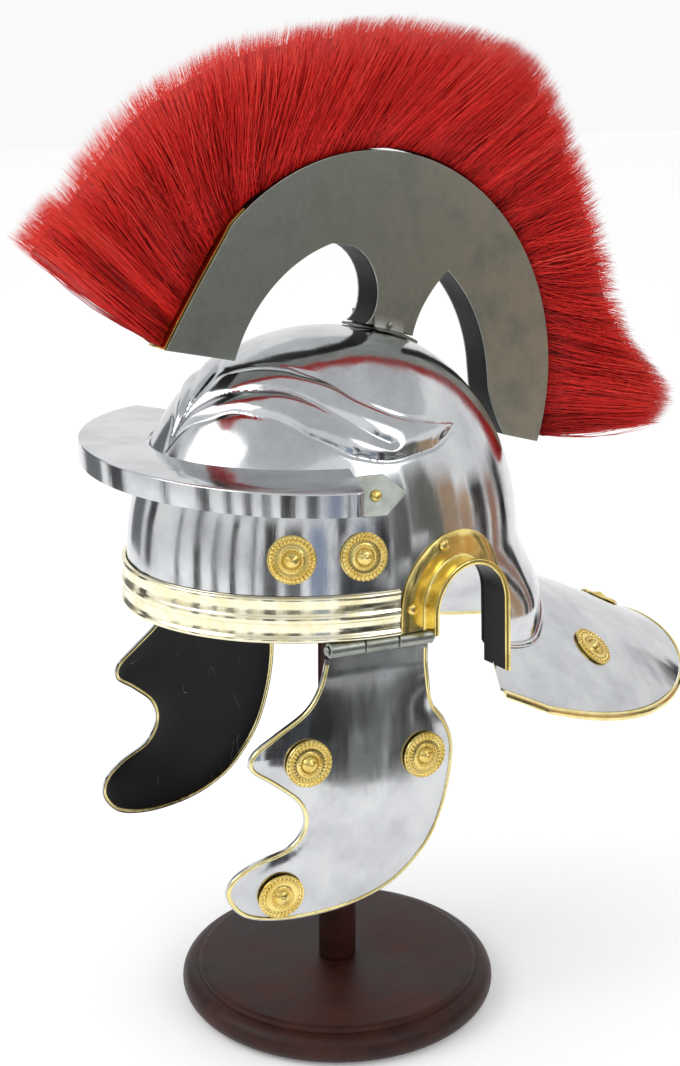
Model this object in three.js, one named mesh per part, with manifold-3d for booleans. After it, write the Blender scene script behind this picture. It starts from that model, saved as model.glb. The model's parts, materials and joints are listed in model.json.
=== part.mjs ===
// A Roman legionary's parade helmet on its turned wooden stand.
// Millimetres, +Z up. The origin is the middle of the stand's foot, on the surface it stands on.
// The brow points along -Y, the wearer's left side is +X, and the plane x = 0 is the plane of symmetry.

import * as THREE from 'three';
import { mergeVertices } from 'three/addons/utils/BufferGeometryUtils.js';
import Module from 'manifold-3d';

const wasm = await Module();
wasm.setup();

// ---------------------------------------------------------------- driving dimensions

const GAP = 0.35;                    // clearance between neighbouring pieces

const BASE_RADIUS = 92.5;            // stand: turned foot
const BASE_HEIGHT = 19;
const POST_RADIUS = 11;
const HEAD_RADIUS = 42;              // the knob under the crown
const HEAD_BOTTOM = 366;

const BOWL_CENTRE_Y = -8;            // bowl: outer half width, half length, and where it starts to curve in
const BOWL_HALF_WIDTH = 96;
const BOWL_HALF_LENGTH = 112.6;
const BOWL_SHOULDER = 268;
const BOWL_TOP = 396.5;
const BOWL_FULLNESS = 2.2;           // 2 is an ellipse, more is squarer
const BOWL_WALL = 1.6;
const RIM = 253.5;                   // bottom edge at the brow

const NAPE_FLARE = 0.13;             // how far the nape's bottom edge turns out, as a share of the radius
const NAPE_TOP = 284;                // the nape turns out below this height
const NAPE_DROP = 42;
const FORM_LOW = RIM - 8;            // the bowl's uncut form reaches down to here at the brow
const GUARD_HALF_WIDTH = 113;        // neck guard: plan outline behind its widest place
const GUARD_LENGTH = 164;
const GUARD_WIDEST_Y = 62;
const GUARD_FRONT_Y = 32;
const GUARD_WALL = 1.6;

const BAND_HEIGHT = 24;              // brass band round the brow
const BAND_END_Y = -24;

const EAR_FRONT_Y = -8;              // ear opening and its brass guard
const EAR_REAR_Y = 34;
const EAR_TOP = 287;
const EAR_SPRING = 264;              // the arch springs from here
const EAR_STRIP = 15;
const EAR_FLANGE = 13;
const EAR_SHEET = 1.1;

const PEAK_TOP = 339;                // brow peak, a flat crescent with a turned-down lip
const PEAK_CENTRE_Y = -41;
const PEAK_HALF_WIDTH = 131;
const PEAK_DEPTH = 98;
const PEAK_LIP = 12;
const PEAK_SHEET = 1.5;

const CREST_HALF_WIDTH = 10;         // crest box: steel cheeks on a wooden core
const CREST_SHEET = 1.2;
const CREST_CENTRE = [15.6, 359.4];
const CREST_RADII = [124.6, 129.2];
const CREST_INNER_CENTRE = [11.1, 355.5];
const CREST_INNER_RADII = [84.5, 88.6];

const PLUME_ROOT = 7.5;              // half thickness of the hair at the crest box and near its tips
const PLUME_TIP = 23;

const HINGE_START = [86.5, -61, 248.8];  // front end of the left cheek guard's hinge line
const HINGE_TURN = 0.15;             // how far the hinge line turns out towards the back, in radians
const HINGE_LENGTH = 58;
const KNUCKLE_RADIUS = 4;
const PIN_RADIUS = 1.6;
const LEAF_SHEET = 1.2;
const CHEEK_SHEET = 1.3;
const CHEEK_INSET = -2.7;            // the plate's flat top lies this far in from the hinge line
const CHEEK_BULGE = 5.7;             // how far its middle is dished outwards
const CHEEK_HEIGHT = 148;

const ROSETTE_RADIUS = 12.4;

// ---------------------------------------------------------------- finishes

const finish = (color, roughness, metalness) => new THREE.MeshStandardMaterial({ color, roughness, metalness });
const polishedSteel = finish(0xc9cbd0, 0.12, 1);
const satinSteel = finish(0x8d918f, 0.35, 1);
const brass = finish(0xd8b04a, 0.2, 1);
const darkWood = finish(0x3a1a12, 0.38, 0);
const blackWood = finish(0x17130f, 0.6, 0);
const redHair = finish(0xc4161c, 0.75, 0);

// ---------------------------------------------------------------- shaping tools

// A closed body with its shared corners merged and its empty triangles dropped.
function closed(geometry) {
  const bare = geometry.clone();
  bare.deleteAttribute('normal');
  bare.deleteAttribute('uv');
  const merged = mergeVertices(bare, 1e-4);
  const kept = [];
  const index = merged.index.array;
  for (let i = 0; i < index.length; i += 3) {
    const [a, b, c] = [index[i], index[i + 1], index[i + 2]];
    if (a !== b && b !== c && c !== a) kept.push(a, b, c);
  }
  merged.setIndex(kept);
  return merged;
}

function solid(geometry) {
  const body = closed(geometry);
  const mesh = new wasm.Mesh({
    numProp: 3,
    vertProperties: new Float32Array(body.attributes.position.array),
    triVerts: new Uint32Array(body.index.array),
  });
  return new wasm.Manifold(mesh);
}

function geometryOf(manifold) {
  const mesh = manifold.getMesh();
  const geometry = new THREE.BufferGeometry();
  geometry.setAttribute('position', new THREE.BufferAttribute(new Float32Array(mesh.vertProperties), 3));
  geometry.setIndex(Array.from(mesh.triVerts));
  return geometry;
}

// Moves every corner of a geometry by a rule from point to point.
function reshape(geometry, rule) {
  const place = geometry.attributes.position;
  const point = new THREE.Vector3();
  for (let i = 0; i < place.count; i += 1) {
    point.fromBufferAttribute(place, i);
    rule(point);
    place.setXYZ(i, point.x, point.y, point.z);
  }
  return geometry;
}

function flipped(geometry) {
  const index = geometry.index.array;
  for (let i = 0; i < index.length; i += 3) [index[i], index[i + 1]] = [index[i + 1], index[i]];
  return geometry;
}

// The same piece for the wearer's right side.
function mirrored(geometry) {
  return flipped(closed(geometry).scale(-1, 1, 1));
}

// A body turned about the vertical axis from [radius, height] pairs.
function turned(profile, sides) {
  const points = profile.map(([radius, height]) => new THREE.Vector2(radius, height));
  return new THREE.LatheGeometry(points, sides).rotateX(Math.PI / 2);
}

// A bar with one cross-section after another: rings of points that all have the same length.
function lofted(rings, capOutline) {
  const count = rings[0].length;
  const points = rings.flat();
  const triangles = [];
  for (let r = 0; r + 1 < rings.length; r += 1) {
    for (let i = 0; i < count; i += 1) {
      const j = (i + 1) % count;
      const [a, b, c, d] = [r * count + i, r * count + j, (r + 1) * count + i, (r + 1) * count + j];
      triangles.push(a, b, d, a, d, c);
    }
  }
  const last = (rings.length - 1) * count;
  for (const [a, b, c] of THREE.ShapeUtils.triangulateShape(capOutline, [])) {
    triangles.push(a, c, b, last + a, last + b, last + c);
  }
  const geometry = new THREE.BufferGeometry();
  geometry.setFromPoints(points);
  geometry.setIndex(triangles);
  return flipped(geometry);
}

// A sheet of even thickness over a rectangle: height(a, b) is its top face.
function sheetOver([a0, a1], [b0, b1], steps, thickness, height) {
  const block = new THREE.BoxGeometry(a1 - a0, b1 - b0, 1, steps[0], steps[1], 1);
  block.translate((a0 + a1) / 2, (b0 + b1) / 2, 0);
  return reshape(block, (p) => {
    p.z = height(p.x, p.y) - (p.z > 0 ? 0 : thickness);
  });
}

// An upright block with the given plan outline.
function prism(outline, bottom, top) {
  const options = { depth: top - bottom, bevelEnabled: false };
  const block = new THREE.ExtrudeGeometry(new THREE.Shape(outline), options);
  return block.translate(0, 0, bottom);
}

// A block whose outline is drawn in the Y-Z plane and that runs from x0 to x1.
function sideways(outline, x0, x1) {
  const upright = prism(outline, x0, x1);
  return reshape(upright, (p) => p.set(p.z, p.x, p.y));
}

// Moves a closed outline outwards by a distance; the outline runs anticlockwise.
function grown(outline, distance) {
  const count = outline.length;
  return outline.map((here, i) => {
    const before = outline[(i + count - 1) % count];
    const after = outline[(i + 1) % count];
    const along = after.clone().sub(before).normalize();
    return new THREE.Vector2(here.x + along.y * distance, here.y - along.x * distance);
  });
}

const pairs = (list) => list.map(([a, b]) => new THREE.Vector2(a, b));
const clamp01 = (t) => Math.min(1, Math.max(0, t));
const smooth = (t) => clamp01(t) ** 2 * (3 - 2 * clamp01(t));

const model = new THREE.Group();

function add(name, geometry, material) {
  const mesh = new THREE.Mesh(closed(geometry), material);
  mesh.name = name;
  model.add(mesh);
}

function addPair(name, geometry, material) {
  add(`${name}_left`, geometry, material);
  add(`${name}_right`, mirrored(geometry), material);
}

// ---------------------------------------------------------------- stand

const edge = BASE_HEIGHT / 2;
const foot = [[0, 0], [BASE_RADIUS - 7, 0]];
for (let i = 1; i <= 6; i += 1) {
  const turn = -Math.PI / 2 + (Math.PI * i) / 6;
  foot.push([BASE_RADIUS - 7 + 7 * Math.cos(turn), edge + edge * Math.sin(turn)]);
}
foot.push([0, BASE_HEIGHT]);
add('stand_base', turned(foot, 44), darkWood);

const post = [[0, BASE_HEIGHT + GAP], [POST_RADIUS, BASE_HEIGHT + GAP], [POST_RADIUS, HEAD_BOTTOM - GAP]];
post.push([0, HEAD_BOTTOM - GAP]);
add('stand_post', turned(post, 24), darkWood);

const HEAD_TOP = BOWL_TOP - BOWL_WALL - 1;
const head = [[0, HEAD_BOTTOM], [HEAD_RADIUS - 4, HEAD_BOTTOM], [HEAD_RADIUS, HEAD_BOTTOM + 4]];
for (const share of [1, 0.75, 0.5, 0.25, 0]) {
  head.push([HEAD_RADIUS * share, HEAD_TOP - 12.5 * share ** 2]);
}
add('stand_head', turned(head, 24).translate(0, BOWL_CENTRE_Y, 0), darkWood);

// ---------------------------------------------------------------- neck guard surface

// Height of the neck guard's top face: it falls away backwards and is arched from side to side.
function guardHeight(x, y) {
  const back = y - 105;
  return 248 - 0.4 * back - 0.0004 * back * back - 0.0049 * x * x;
}

// The guard's curved sheet before it is cut to its outline.
const guardField = (rise, thickness) =>
  solid(sheetOver([-122, 122], [16, 236], [16, 12], thickness, (x, y) => guardHeight(x, y) + rise));

// ---------------------------------------------------------------- bowl

// The solid form of the bowl, grown by an offset. It reaches a little below its rim.
function bowlForm(offset) {
  const top = BOWL_TOP + offset;
  const profile = [[0, FORM_LOW]];
  for (const height of [FORM_LOW, 252, 260, BOWL_SHOULDER]) profile.push([1, height]);
  const steps = 9;
  for (let i = 1; i <= steps; i += 1) {
    const share = Math.sin((Math.PI / 2) * (i / steps));
    const radius = (1 - share ** BOWL_FULLNESS) ** (1 / BOWL_FULLNESS);
    profile.push([i === steps ? 0 : radius, BOWL_SHOULDER + (top - BOWL_SHOULDER) * share]);
  }
  const form = turned(profile, 64);
  return reshape(form, (p) => {
    p.x *= BOWL_HALF_WIDTH + offset;
    p.y = BOWL_CENTRE_Y + p.y * (BOWL_HALF_LENGTH + offset);
    const nape = smooth((p.y - 6) / 24);
    const turnedOut = smooth((p.y - 30) / 40);
    if (p.z < BOWL_SHOULDER) {
      const down = clamp01((BOWL_SHOULDER - p.z) / (BOWL_SHOULDER - FORM_LOW));
      const bottom = THREE.MathUtils.lerp(FORM_LOW, guardHeight(p.x, p.y) - 20, nape);
      p.z = BOWL_SHOULDER + (bottom - BOWL_SHOULDER) * down;
    }
    const flare = 1 + NAPE_FLARE * turnedOut * smooth((NAPE_TOP - p.z) / NAPE_DROP);
    p.x *= flare;
    p.y = BOWL_CENTRE_Y + (p.y - BOWL_CENTRE_Y) * flare;
  });
}

// The ear opening, an arch that is open downwards, grown by a distance.
function earArch(distance, bottom) {
  const front = EAR_FRONT_Y - distance;
  const rear = EAR_REAR_Y + distance;
  const middle = (front + rear) / 2;
  const spring = EAR_SPRING;
  const outline = [[rear + 3, bottom]];
  for (let i = 0; i <= 12; i += 1) {
    const turn = (Math.PI * i) / 12;
    outline.push([
      middle + ((rear - front) / 2) * Math.cos(turn),
      spring + (EAR_TOP + distance - spring) * Math.sin(turn),
    ]);
  }
  outline.push([front, bottom]);
  return pairs(outline);
}

const rimCut = pairs([[-140, 150], [16, 150], [16, RIM], [-140, RIM]]);
const belowRim = solid(sideways(rimCut, -140, 140));
const underNape = guardField(GAP, 40);
const bowlForms = solid(bowlForm(0)).subtract(solid(bowlForm(-BOWL_WALL)));
const earHoles = solid(sideways(earArch(0, 190), -140, 140));
add('bowl', geometryOf(bowlForms.subtract(belowRim).subtract(underNape).subtract(earHoles)), polishedSteel);

// ---------------------------------------------------------------- neck guard

// Half of the guard's plan is a squared ellipse behind its widest place, and runs straight ahead of it.
function guardOutline(distance) {
  const outline = [[GUARD_HALF_WIDTH - 4 + distance, GUARD_FRONT_Y]];
  for (let i = 0; i <= 28; i += 1) {
    const turn = (Math.PI * i) / 28;
    const [c, s] = [Math.cos(turn), Math.sin(turn)];
    outline.push([
      (GUARD_HALF_WIDTH + distance) * Math.sign(c) * Math.abs(c) ** (2 / 2.3),
      GUARD_WIDEST_Y + (GUARD_LENGTH + distance) * s ** (2 / 2.3),
    ]);
  }
  outline.push([-GUARD_HALF_WIDTH + 4 - distance, GUARD_FRONT_Y]);
  return pairs(outline);
}

// The guard's inner edge runs under the bowl's nape.
function guardInnerEdge() {
  const outline = [];
  for (let i = 0; i < 48; i += 1) {
    const turn = (2 * Math.PI * i) / 48;
    outline.push([
      (BOWL_HALF_WIDTH - 6) * Math.cos(turn),
      BOWL_CENTRE_Y + (BOWL_HALF_LENGTH - 8) * Math.sin(turn),
    ]);
  }
  return pairs(outline);
}

const guardPlan = solid(prism(guardOutline(0), 120, 300));
const underBowl = solid(prism(guardInnerEdge(), 100, 320));
const guardSheet = guardField(0, GUARD_WALL).intersect(guardPlan).subtract(underBowl);
add('neck_guard', geometryOf(guardSheet), polishedSteel);

const trimPlan = solid(prism(guardOutline(2.6), 120, 300)).subtract(solid(prism(guardOutline(GAP), 110, 310)));
const trimStart = GUARD_FRONT_Y + 0.2;
const trimFront = solid(prism(pairs([[-140, trimStart], [140, trimStart], [140, 250], [-140, 250]]), 100, 320));
const trimBody = guardField(0.9, GUARD_WALL + 1.8).intersect(trimPlan).intersect(trimFront);
add('neck_guard_edging', geometryOf(trimBody), brass);

// ---------------------------------------------------------------- brow band

// Section of the band as [out from the bowl, up from the rim]: rolled edges and a rib along the middle.
const bandSection = pairs([
  [0, 0], [2.6, 0], [3.1, 1.5], [2.6, 3], [1.5, 3.6], [1.5, 9.6], [2.5, 10.6], [2.5, 13.4],
  [1.5, 14.4], [1.5, 20], [2.2, 21], [2.2, 23.2], [1.4, 24], [0, 24],
]).map((p) => new THREE.Vector2(p.x + GAP, (p.y * BAND_HEIGHT) / 24));

// A point on the bowl's side wall at a plan angle, with its outward direction.
function wallPoint(turn, out, height) {
  const x = BOWL_HALF_WIDTH * Math.cos(turn);
  const y = BOWL_CENTRE_Y + BOWL_HALF_LENGTH * Math.sin(turn);
  const slope = new THREE.Vector2(Math.cos(turn) / BOWL_HALF_WIDTH, Math.sin(turn) / BOWL_HALF_LENGTH);
  const normal = slope.normalize();
  return new THREE.Vector3(x + normal.x * out, y + normal.y * out, height);
}

const bandEnd = Math.asin((BAND_END_Y - BOWL_CENTRE_Y) / BOWL_HALF_LENGTH);
const BAND_STEPS = 32;
const bandRings = [];
for (let i = 0; i <= BAND_STEPS; i += 1) {
  const turn = THREE.MathUtils.lerp(-Math.PI - bandEnd, bandEnd, i / BAND_STEPS);
  bandRings.push(bandSection.map((p) => wallPoint(turn, p.x, RIM - 0.3 + p.y)));
}
add('brow_band', lofted(bandRings, bandSection), brass);

// ---------------------------------------------------------------- ear guards

const overBowl = solid(bowlForm(GAP));
const skin = solid(bowlForm(GAP + EAR_SHEET)).subtract(overBowl);
const earInside = solid(sideways(earArch(0.2, 180), 30, 150));
const stripRing = solid(sideways(earArch(EAR_STRIP, 190), 40, 140)).subtract(earInside);
const earStrip = skin.intersect(stripRing);

// The flange stands out from the opening's edge.
const flangeRing = solid(sideways(earArch(0.2 + EAR_SHEET, 205), 80, 96 + EAR_FLANGE))
  .subtract(earInside);
const guardCut = guardField(1.2, 60);
const earGuard = earStrip.add(flangeRing.subtract(overBowl)).subtract(belowRim).subtract(guardCut);
addPair('ear_guard', geometryOf(earGuard), brass);

// ---------------------------------------------------------------- studs and rosettes

// A point on the bowl's outside at a given y and z, on the left side, with its outward direction.
function onBowl(y, z) {
  const rise = Math.max(0, (z - BOWL_SHOULDER) / (BOWL_TOP - BOWL_SHOULDER));
  const share = (1 - rise ** BOWL_FULLNESS) ** (1 / BOWL_FULLNESS);
  const x = BOWL_HALF_WIDTH * Math.sqrt(share ** 2 - ((y - BOWL_CENTRE_Y) / BOWL_HALF_LENGTH) ** 2);
  const steep = rise ** (BOWL_FULLNESS - 1) / share ** (BOWL_FULLNESS - 2);
  const normal = new THREE.Vector3(
    x / BOWL_HALF_WIDTH ** 2,
    (y - BOWL_CENTRE_Y) / BOWL_HALF_LENGTH ** 2,
    steep / (BOWL_TOP - BOWL_SHOULDER),
  );
  return { point: new THREE.Vector3(x, y, z), normal: normal.normalize() };
}

// A turned button that lies on a surface, its back at a small gap above the surface.
function button(profile, sides, { point, normal }, gap) {
  const turn = new THREE.Quaternion().setFromUnitVectors(new THREE.Vector3(0, 0, 1), normal);
  const seat = point.clone().addScaledVector(normal, gap);
  return turned(profile, sides).applyQuaternion(turn).translate(seat.x, seat.y, seat.z);
}

const ROSETTE_SIDES = 14;
const rosetteProfile = [
  [0, 0], [ROSETTE_RADIUS, 0], [ROSETTE_RADIUS - 1.4, 1.9], [8.4, 1.2], [6, 2.2], [3.2, 4.4], [0, 4.8],
];
const rivetProfile = [[0, 0], [3, 0], [2.4, 1.3], [0, 1.9]];

addPair('brow_rosette_front', button(rosetteProfile, ROSETTE_SIDES, onBowl(-75, 296), GAP), brass);
addPair('brow_rosette_rear', button(rosetteProfile, ROSETTE_SIDES, onBowl(-42, 296), GAP), brass);

function onGuard(x, y) {
  const normal = new THREE.Vector3(0.0098 * x, 0.4 + 0.0008 * (y - 105), 1).normalize();
  return { point: new THREE.Vector3(x, y, guardHeight(x, y)), normal };
}

addPair('neck_rosette', button(rosetteProfile, ROSETTE_SIDES, onGuard(76, 124), GAP + 0.5), brass);
add('neck_rosette_middle', button(rosetteProfile, ROSETTE_SIDES, onGuard(0, 196), GAP + 0.5), brass);

addPair('ear_rivet_top', button(rivetProfile, 10, onBowl(3, 296), EAR_SHEET + 2 * GAP + 0.2), brass);
addPair('ear_rivet_front', button(rivetProfile, 10, onBowl(-17, 266), EAR_SHEET + 2 * GAP + 0.2), brass);

// ---------------------------------------------------------------- peak

// The peak's edge from the left tab round the brow to the right tab, seen from above.
const peakHalf = [];
for (let i = 0; i <= 22; i += 1) {
  const turn = -Math.PI / 2 + ((Math.PI / 2 - 0.3) * i) / 22;
  const [x, y] = [PEAK_HALF_WIDTH * Math.cos(turn), PEAK_CENTRE_Y + PEAK_DEPTH * Math.sin(turn)];
  peakHalf.push(new THREE.Vector2(x, y));
}
peakHalf.push(...pairs([[121, -63], [110, -57.5], [99, -54.5], [90, -53], [86.2, -50], [84.6, -45]]));
const otherHalf = peakHalf.slice(1).map((p) => new THREE.Vector2(-p.x, p.y)).reverse();
const peakEdge = [...otherHalf, ...peakHalf];

function pathMovedIn(path, distance) {
  return path.map((here, i) => {
    const along = path[Math.min(i + 1, path.length - 1)].clone().sub(path[Math.max(i - 1, 0)]).normalize();
    return new THREE.Vector2(here.x - along.y * distance, here.y + along.x * distance);
  });
}

const lipOutline = [...peakEdge, ...pathMovedIn(peakEdge, PEAK_SHEET).reverse()];
const lip = solid(prism(lipOutline, PEAK_TOP - PEAK_LIP, PEAK_TOP));
const crescent = solid(prism(peakEdge, PEAK_TOP - PEAK_SHEET, PEAK_TOP));

// Each tab is a pointed plate that lies along the bowl's side behind the lip.
const tabSeat = onBowl(-33, 325);
const tabCorners = [[-22, -2], [-22, 9], [-6, 10.5], [5, 10.5], [17, 0], [5, -10.5], [-6, -10.5]];
const tabOutline = pairs(tabCorners).reverse();
const tabAlong = new THREE.Vector3(-tabSeat.normal.y, tabSeat.normal.x, 0).normalize();
const tabUp = new THREE.Vector3().crossVectors(tabSeat.normal, tabAlong);
function onTab(along, up, out) {
  return tabSeat.point.clone()
    .addScaledVector(tabAlong, along)
    .addScaledVector(tabUp, up)
    .addScaledVector(tabSeat.normal, out);
}
const tabBlock = prism(tabOutline, GAP, GAP + PEAK_SHEET);
const tab = reshape(tabBlock, (p) => p.copy(onTab(p.x, p.y, p.z)));
const bowlClear = solid(bowlForm(1.2));
const peakSheet = lip.add(crescent).subtract(bowlClear);
const peak = peakSheet.add(solid(tab)).add(solid(mirrored(tab))).subtract(overBowl);
add('peak', geometryOf(peak), polishedSteel);
const rivetSeat = { point: onTab(0, 0, GAP + PEAK_SHEET), normal: tabSeat.normal };
addPair('peak_rivet', button(rivetProfile, 10, rivetSeat, GAP), brass);

// ---------------------------------------------------------------- crest

// Side outline of the crest box, as [y, z]: the arch, its two ends, and the stem down to the crown.
function crestOutline() {
  const shape = new THREE.Shape();
  shape.moveTo(-108, 394);
  shape.quadraticCurveTo(-92, 421, -70, 452);
  const [cy, cz] = CREST_CENTRE;
  const [ry, rz] = CREST_RADII;
  const first = Math.PI - Math.asin((454 - cz) / rz);
  const last = Math.asin((318 - cz) / rz);
  shape.absellipse(cy, cz, ry, rz, first, last, true);
  shape.lineTo(109, 325);
  shape.quadraticCurveTo(99, 340, 96, 356);
  const [iy, iz] = CREST_INNER_CENTRE;
  const [sy, sz] = CREST_INNER_RADII;
  shape.absellipse(iy, iz, sy, sz, 0.1, 0.86, false);
  shape.quadraticCurveTo(47, 406, 43, 378);
  shape.lineTo(12, 384);
  shape.bezierCurveTo(24, 400, 24, 434, 0, 441);
  shape.absellipse(iy, iz, sy, sz, Math.PI / 2 + 0.24, Math.PI - 0.34, false);
  return shape.getPoints(9);
}

const crestSolid = (x0, x1) => solid(sideways(crestOutline().reverse(), x0, x1));
const crownClear = solid(bowlForm(2.2));
const plate = crestSolid(CREST_HALF_WIDTH - CREST_SHEET, CREST_HALF_WIDTH).subtract(crownClear);
addPair('crest_plate', geometryOf(plate), satinSteel);
const coreHalf = CREST_HALF_WIDTH - CREST_SHEET - GAP;
add('crest_core', geometryOf(crestSolid(-coreHalf, coreHalf).subtract(crownClear)), blackWood);

// The crown socket: a low steel saddle, soldered to the bowl, that the stem stands in.
const socketBlock = solid(sideways(pairs([[8, 380], [48, 372], [48, 400], [8, 405]]), -7.5, 7.5));
const socket = socketBlock.intersect(solid(bowlForm(1.85))).subtract(overBowl);
add('crest_socket', geometryOf(socket), satinSteel);

// ---------------------------------------------------------------- plume

// Where the hair leaves the crest box, and where its tips end, both as [y, z] from front to back.
const curve3 = (list) => new THREE.CatmullRomCurve3(list.map(([y, z]) => new THREE.Vector3(0, y, z)));
const plumeRoots = curve3([
  [-109, 396], [-93, 422], [-69, 456], [-40, 474], [0, 487], [40, 487.5],
  [80, 472], [112, 443], [133, 407], [142, 366], [140, 320],
]);
const plumeTips = curve3([
  [-184, 455], [-160, 479], [-120, 519], [-60, 547], [0, 556], [50, 558], [110, 548],
  [136, 530], [158, 492], [180, 442], [205, 376], [243, 338], [232, 319],
]);
const plumeSection = pairs([
  [0, -PLUME_ROOT], [0.45, -PLUME_TIP * 0.62], [0.8, -PLUME_TIP], [0.95, -PLUME_TIP * 0.8], [1, 0],
  [0.95, PLUME_TIP * 0.8], [0.8, PLUME_TIP], [0.45, PLUME_TIP * 0.62], [0, PLUME_ROOT],
]);
const plumeRings = [];
for (let i = 0; i <= 36; i += 1) {
  const root = plumeRoots.getPoint(1 - i / 36);
  const tip = plumeTips.getPoint(1 - i / 36);
  plumeRings.push(plumeSection.map((p) => root.clone().lerp(tip, p.x).setX(p.y)));
}
const rootSeat = solid(sideways(grown(crestOutline().reverse(), GAP), -PLUME_TIP, PLUME_TIP));
add('plume', geometryOf(solid(lofted(plumeRings, plumeSection)).subtract(rootSeat)), redHair);

// ---------------------------------------------------------------- cheek guards and their hinges

// From hinge coordinates (out from the hinge line, along it, up) to the helmet's own.
const hingeAlong = new THREE.Vector3(Math.sin(HINGE_TURN), Math.cos(HINGE_TURN), 0);
const hingeOut = new THREE.Vector3(Math.cos(HINGE_TURN), -Math.sin(HINGE_TURN), 0);
const hingeFrame = new THREE.Matrix4()
  .makeBasis(hingeOut, hingeAlong, new THREE.Vector3(0, 0, 1))
  .setPosition(...HINGE_START);
const atHinge = (body) => geometryOf(body).applyMatrix4(hingeFrame);

const barrel = (radius, from, to) =>
  solid(new THREE.CylinderGeometry(radius, radius, to - from, 14).translate(0, (from + to) / 2, 0));
const block = ([x0, x1], [y0, y1], [z0, z1]) => {
  const box = new THREE.BoxGeometry(x1 - x0, y1 - y0, z1 - z0);
  return solid(box.translate((x0 + x1) / 2, (y0 + y1) / 2, (z0 + z1) / 2));
};

const third = HINGE_LENGTH / 3;
const leafIn = -KNUCKLE_RADIUS - LEAF_SHEET;
const bore = barrel(PIN_RADIUS + 0.5, -5, HINGE_LENGTH + 5);

// The fixed leaf has the two outer knuckles and goes up inside the bowl.
let fixedLeaf = block([leafIn, -KNUCKLE_RADIUS], [2, HINGE_LENGTH - 2], [1.4, 20]);
for (const from of [0, 2 * third]) {
  fixedLeaf = fixedLeaf.add(barrel(KNUCKLE_RADIUS, from, from + third));
  fixedLeaf = fixedLeaf.add(block([leafIn, 0], [from + 2, from + third - 1], [1.4, 3.8]));
}
addPair('cheek_hinge_fixed', atHinge(fixedLeaf.subtract(bore)), satinSteel);

// The moving leaf has the middle knuckle and hangs down behind the cheek plate.
const KNUCKLE_PLAY = 0.5;
const movingLeaf = barrel(KNUCKLE_RADIUS, third + KNUCKLE_PLAY, 2 * third - KNUCKLE_PLAY)
  .add(block([leafIn, 0], [third + KNUCKLE_PLAY, 2 * third - KNUCKLE_PLAY], [-3.8, -1.4]))
  .add(block([leafIn, -KNUCKLE_RADIUS - GAP], [4, HINGE_LENGTH - 4], [-18, -5]))
  .add(block([leafIn, -KNUCKLE_RADIUS], [third + KNUCKLE_PLAY, 2 * third - KNUCKLE_PLAY], [-8, -1.4]));
addPair('cheek_hinge_moving', atHinge(movingLeaf.subtract(bore)), satinSteel);

const pin = barrel(PIN_RADIUS, -1.5, HINGE_LENGTH + 1.5)
  .add(barrel(PIN_RADIUS + 1, -1.6, -0.4))
  .add(barrel(PIN_RADIUS + 1, HINGE_LENGTH + 0.4, HINGE_LENGTH + 1.6));
addPair('cheek_hinge_pin', atHinge(pin), satinSteel);

// Outline of the cheek plate as [along the hinge line, up from it]: a straight top under the hinge,
// a rounded back, a long chin lobe, and two hollows in front that leave the eye and mouth free.
const cheekShape = new THREE.Shape();
cheekShape.moveTo(0, -5.6);
cheekShape.splineThru(pairs([
  [-3.5, -18], [-12, -31], [-28, -41.5], [-40.5, -50], [-42, -59], [-30, -68.5], [-17, -80.5], [-14, -93],
  [-22, -104], [-41, -110.5], [-53, -118.5], [-55, -129], [-45, -141], [-25, -147], [0, -148], [22, -144.5],
  [42, -135.5], [60, -117], [70, -93], [73.8, -66], [69, -50], [61, -38], [58, -22], [57.6, -5.6],
]));
const cheekOutline = cheekShape.getPoints(3);

// How far the plate's outer face lies out from the hinge line.
function cheekSurface(along, up) {
  const across = 1 - ((along - 10) / 78) ** 2;
  const fall = clamp01((-up - 14) / (CHEEK_HEIGHT - 10));
  return CHEEK_INSET + CHEEK_BULGE * across * 4 * fall * (1 - fall);
}

// Plates are made lying flat, as [along, up, out], and then stood up in the hinge's frame.
const standUp = (geometry) => reshape(geometry, (p) => p.set(p.z, p.x, p.y));
const cheekField = (rise, thickness) =>
  sheetOver([-66, 86], [-158, 2], [8, 12], thickness, (a, b) => cheekSurface(a, b) + rise);
const dish = solid(standUp(cheekField(0, CHEEK_SHEET)));
const cheekBlock = (distance) => {
  const outline = distance === 0 ? cheekOutline : grown(cheekOutline, distance);
  return solid(standUp(prism(outline, -30, 30)));
};
addPair('cheek_plate', atHinge(dish.intersect(cheekBlock(0))), polishedSteel);

const belowHinge = block([-40, 40], [-80, 100], [-170, -7]);
const rimField = solid(standUp(cheekField(0.8, CHEEK_SHEET + 1.6)));
const cheekRim = rimField.intersect(cheekBlock(2.5)).subtract(cheekBlock(GAP)).intersect(belowHinge);
addPair('cheek_edging', atHinge(cheekRim), brass);

function onCheek(along, up) {
  const step = 0.5;
  const slopeAlong = (cheekSurface(along + step, up) - cheekSurface(along - step, up)) / (2 * step);
  const slopeUp = (cheekSurface(along, up + step) - cheekSurface(along, up - step)) / (2 * step);
  const normal = new THREE.Vector3(1, -slopeAlong, -slopeUp).normalize();
  return { point: new THREE.Vector3(cheekSurface(along, up), along, up), normal };
}

const cheekRosettes = { front: [-12, -58], rear: [54, -65], chin: [-27, -130] };
for (const [place, [along, up]] of Object.entries(cheekRosettes)) {
  const rosette = button(rosetteProfile, ROSETTE_SIDES, onCheek(along, up), GAP + 0.6).applyMatrix4(hingeFrame);
  addPair(`cheek_rosette_${place}`, rosette, brass);
}

export default model;
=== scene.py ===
# %% [markdown]
# # A legionary's parade helmet on its wooden stand
# The helmet is a raised steel bowl with a peak, a sloping neck guard, brass trim, two hinged cheek guards
# and a tall fore-and-aft crest of dyed horsehair. It sits on a turned wooden stand.
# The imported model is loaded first, and everything after it is made round that fixed frame.

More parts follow.
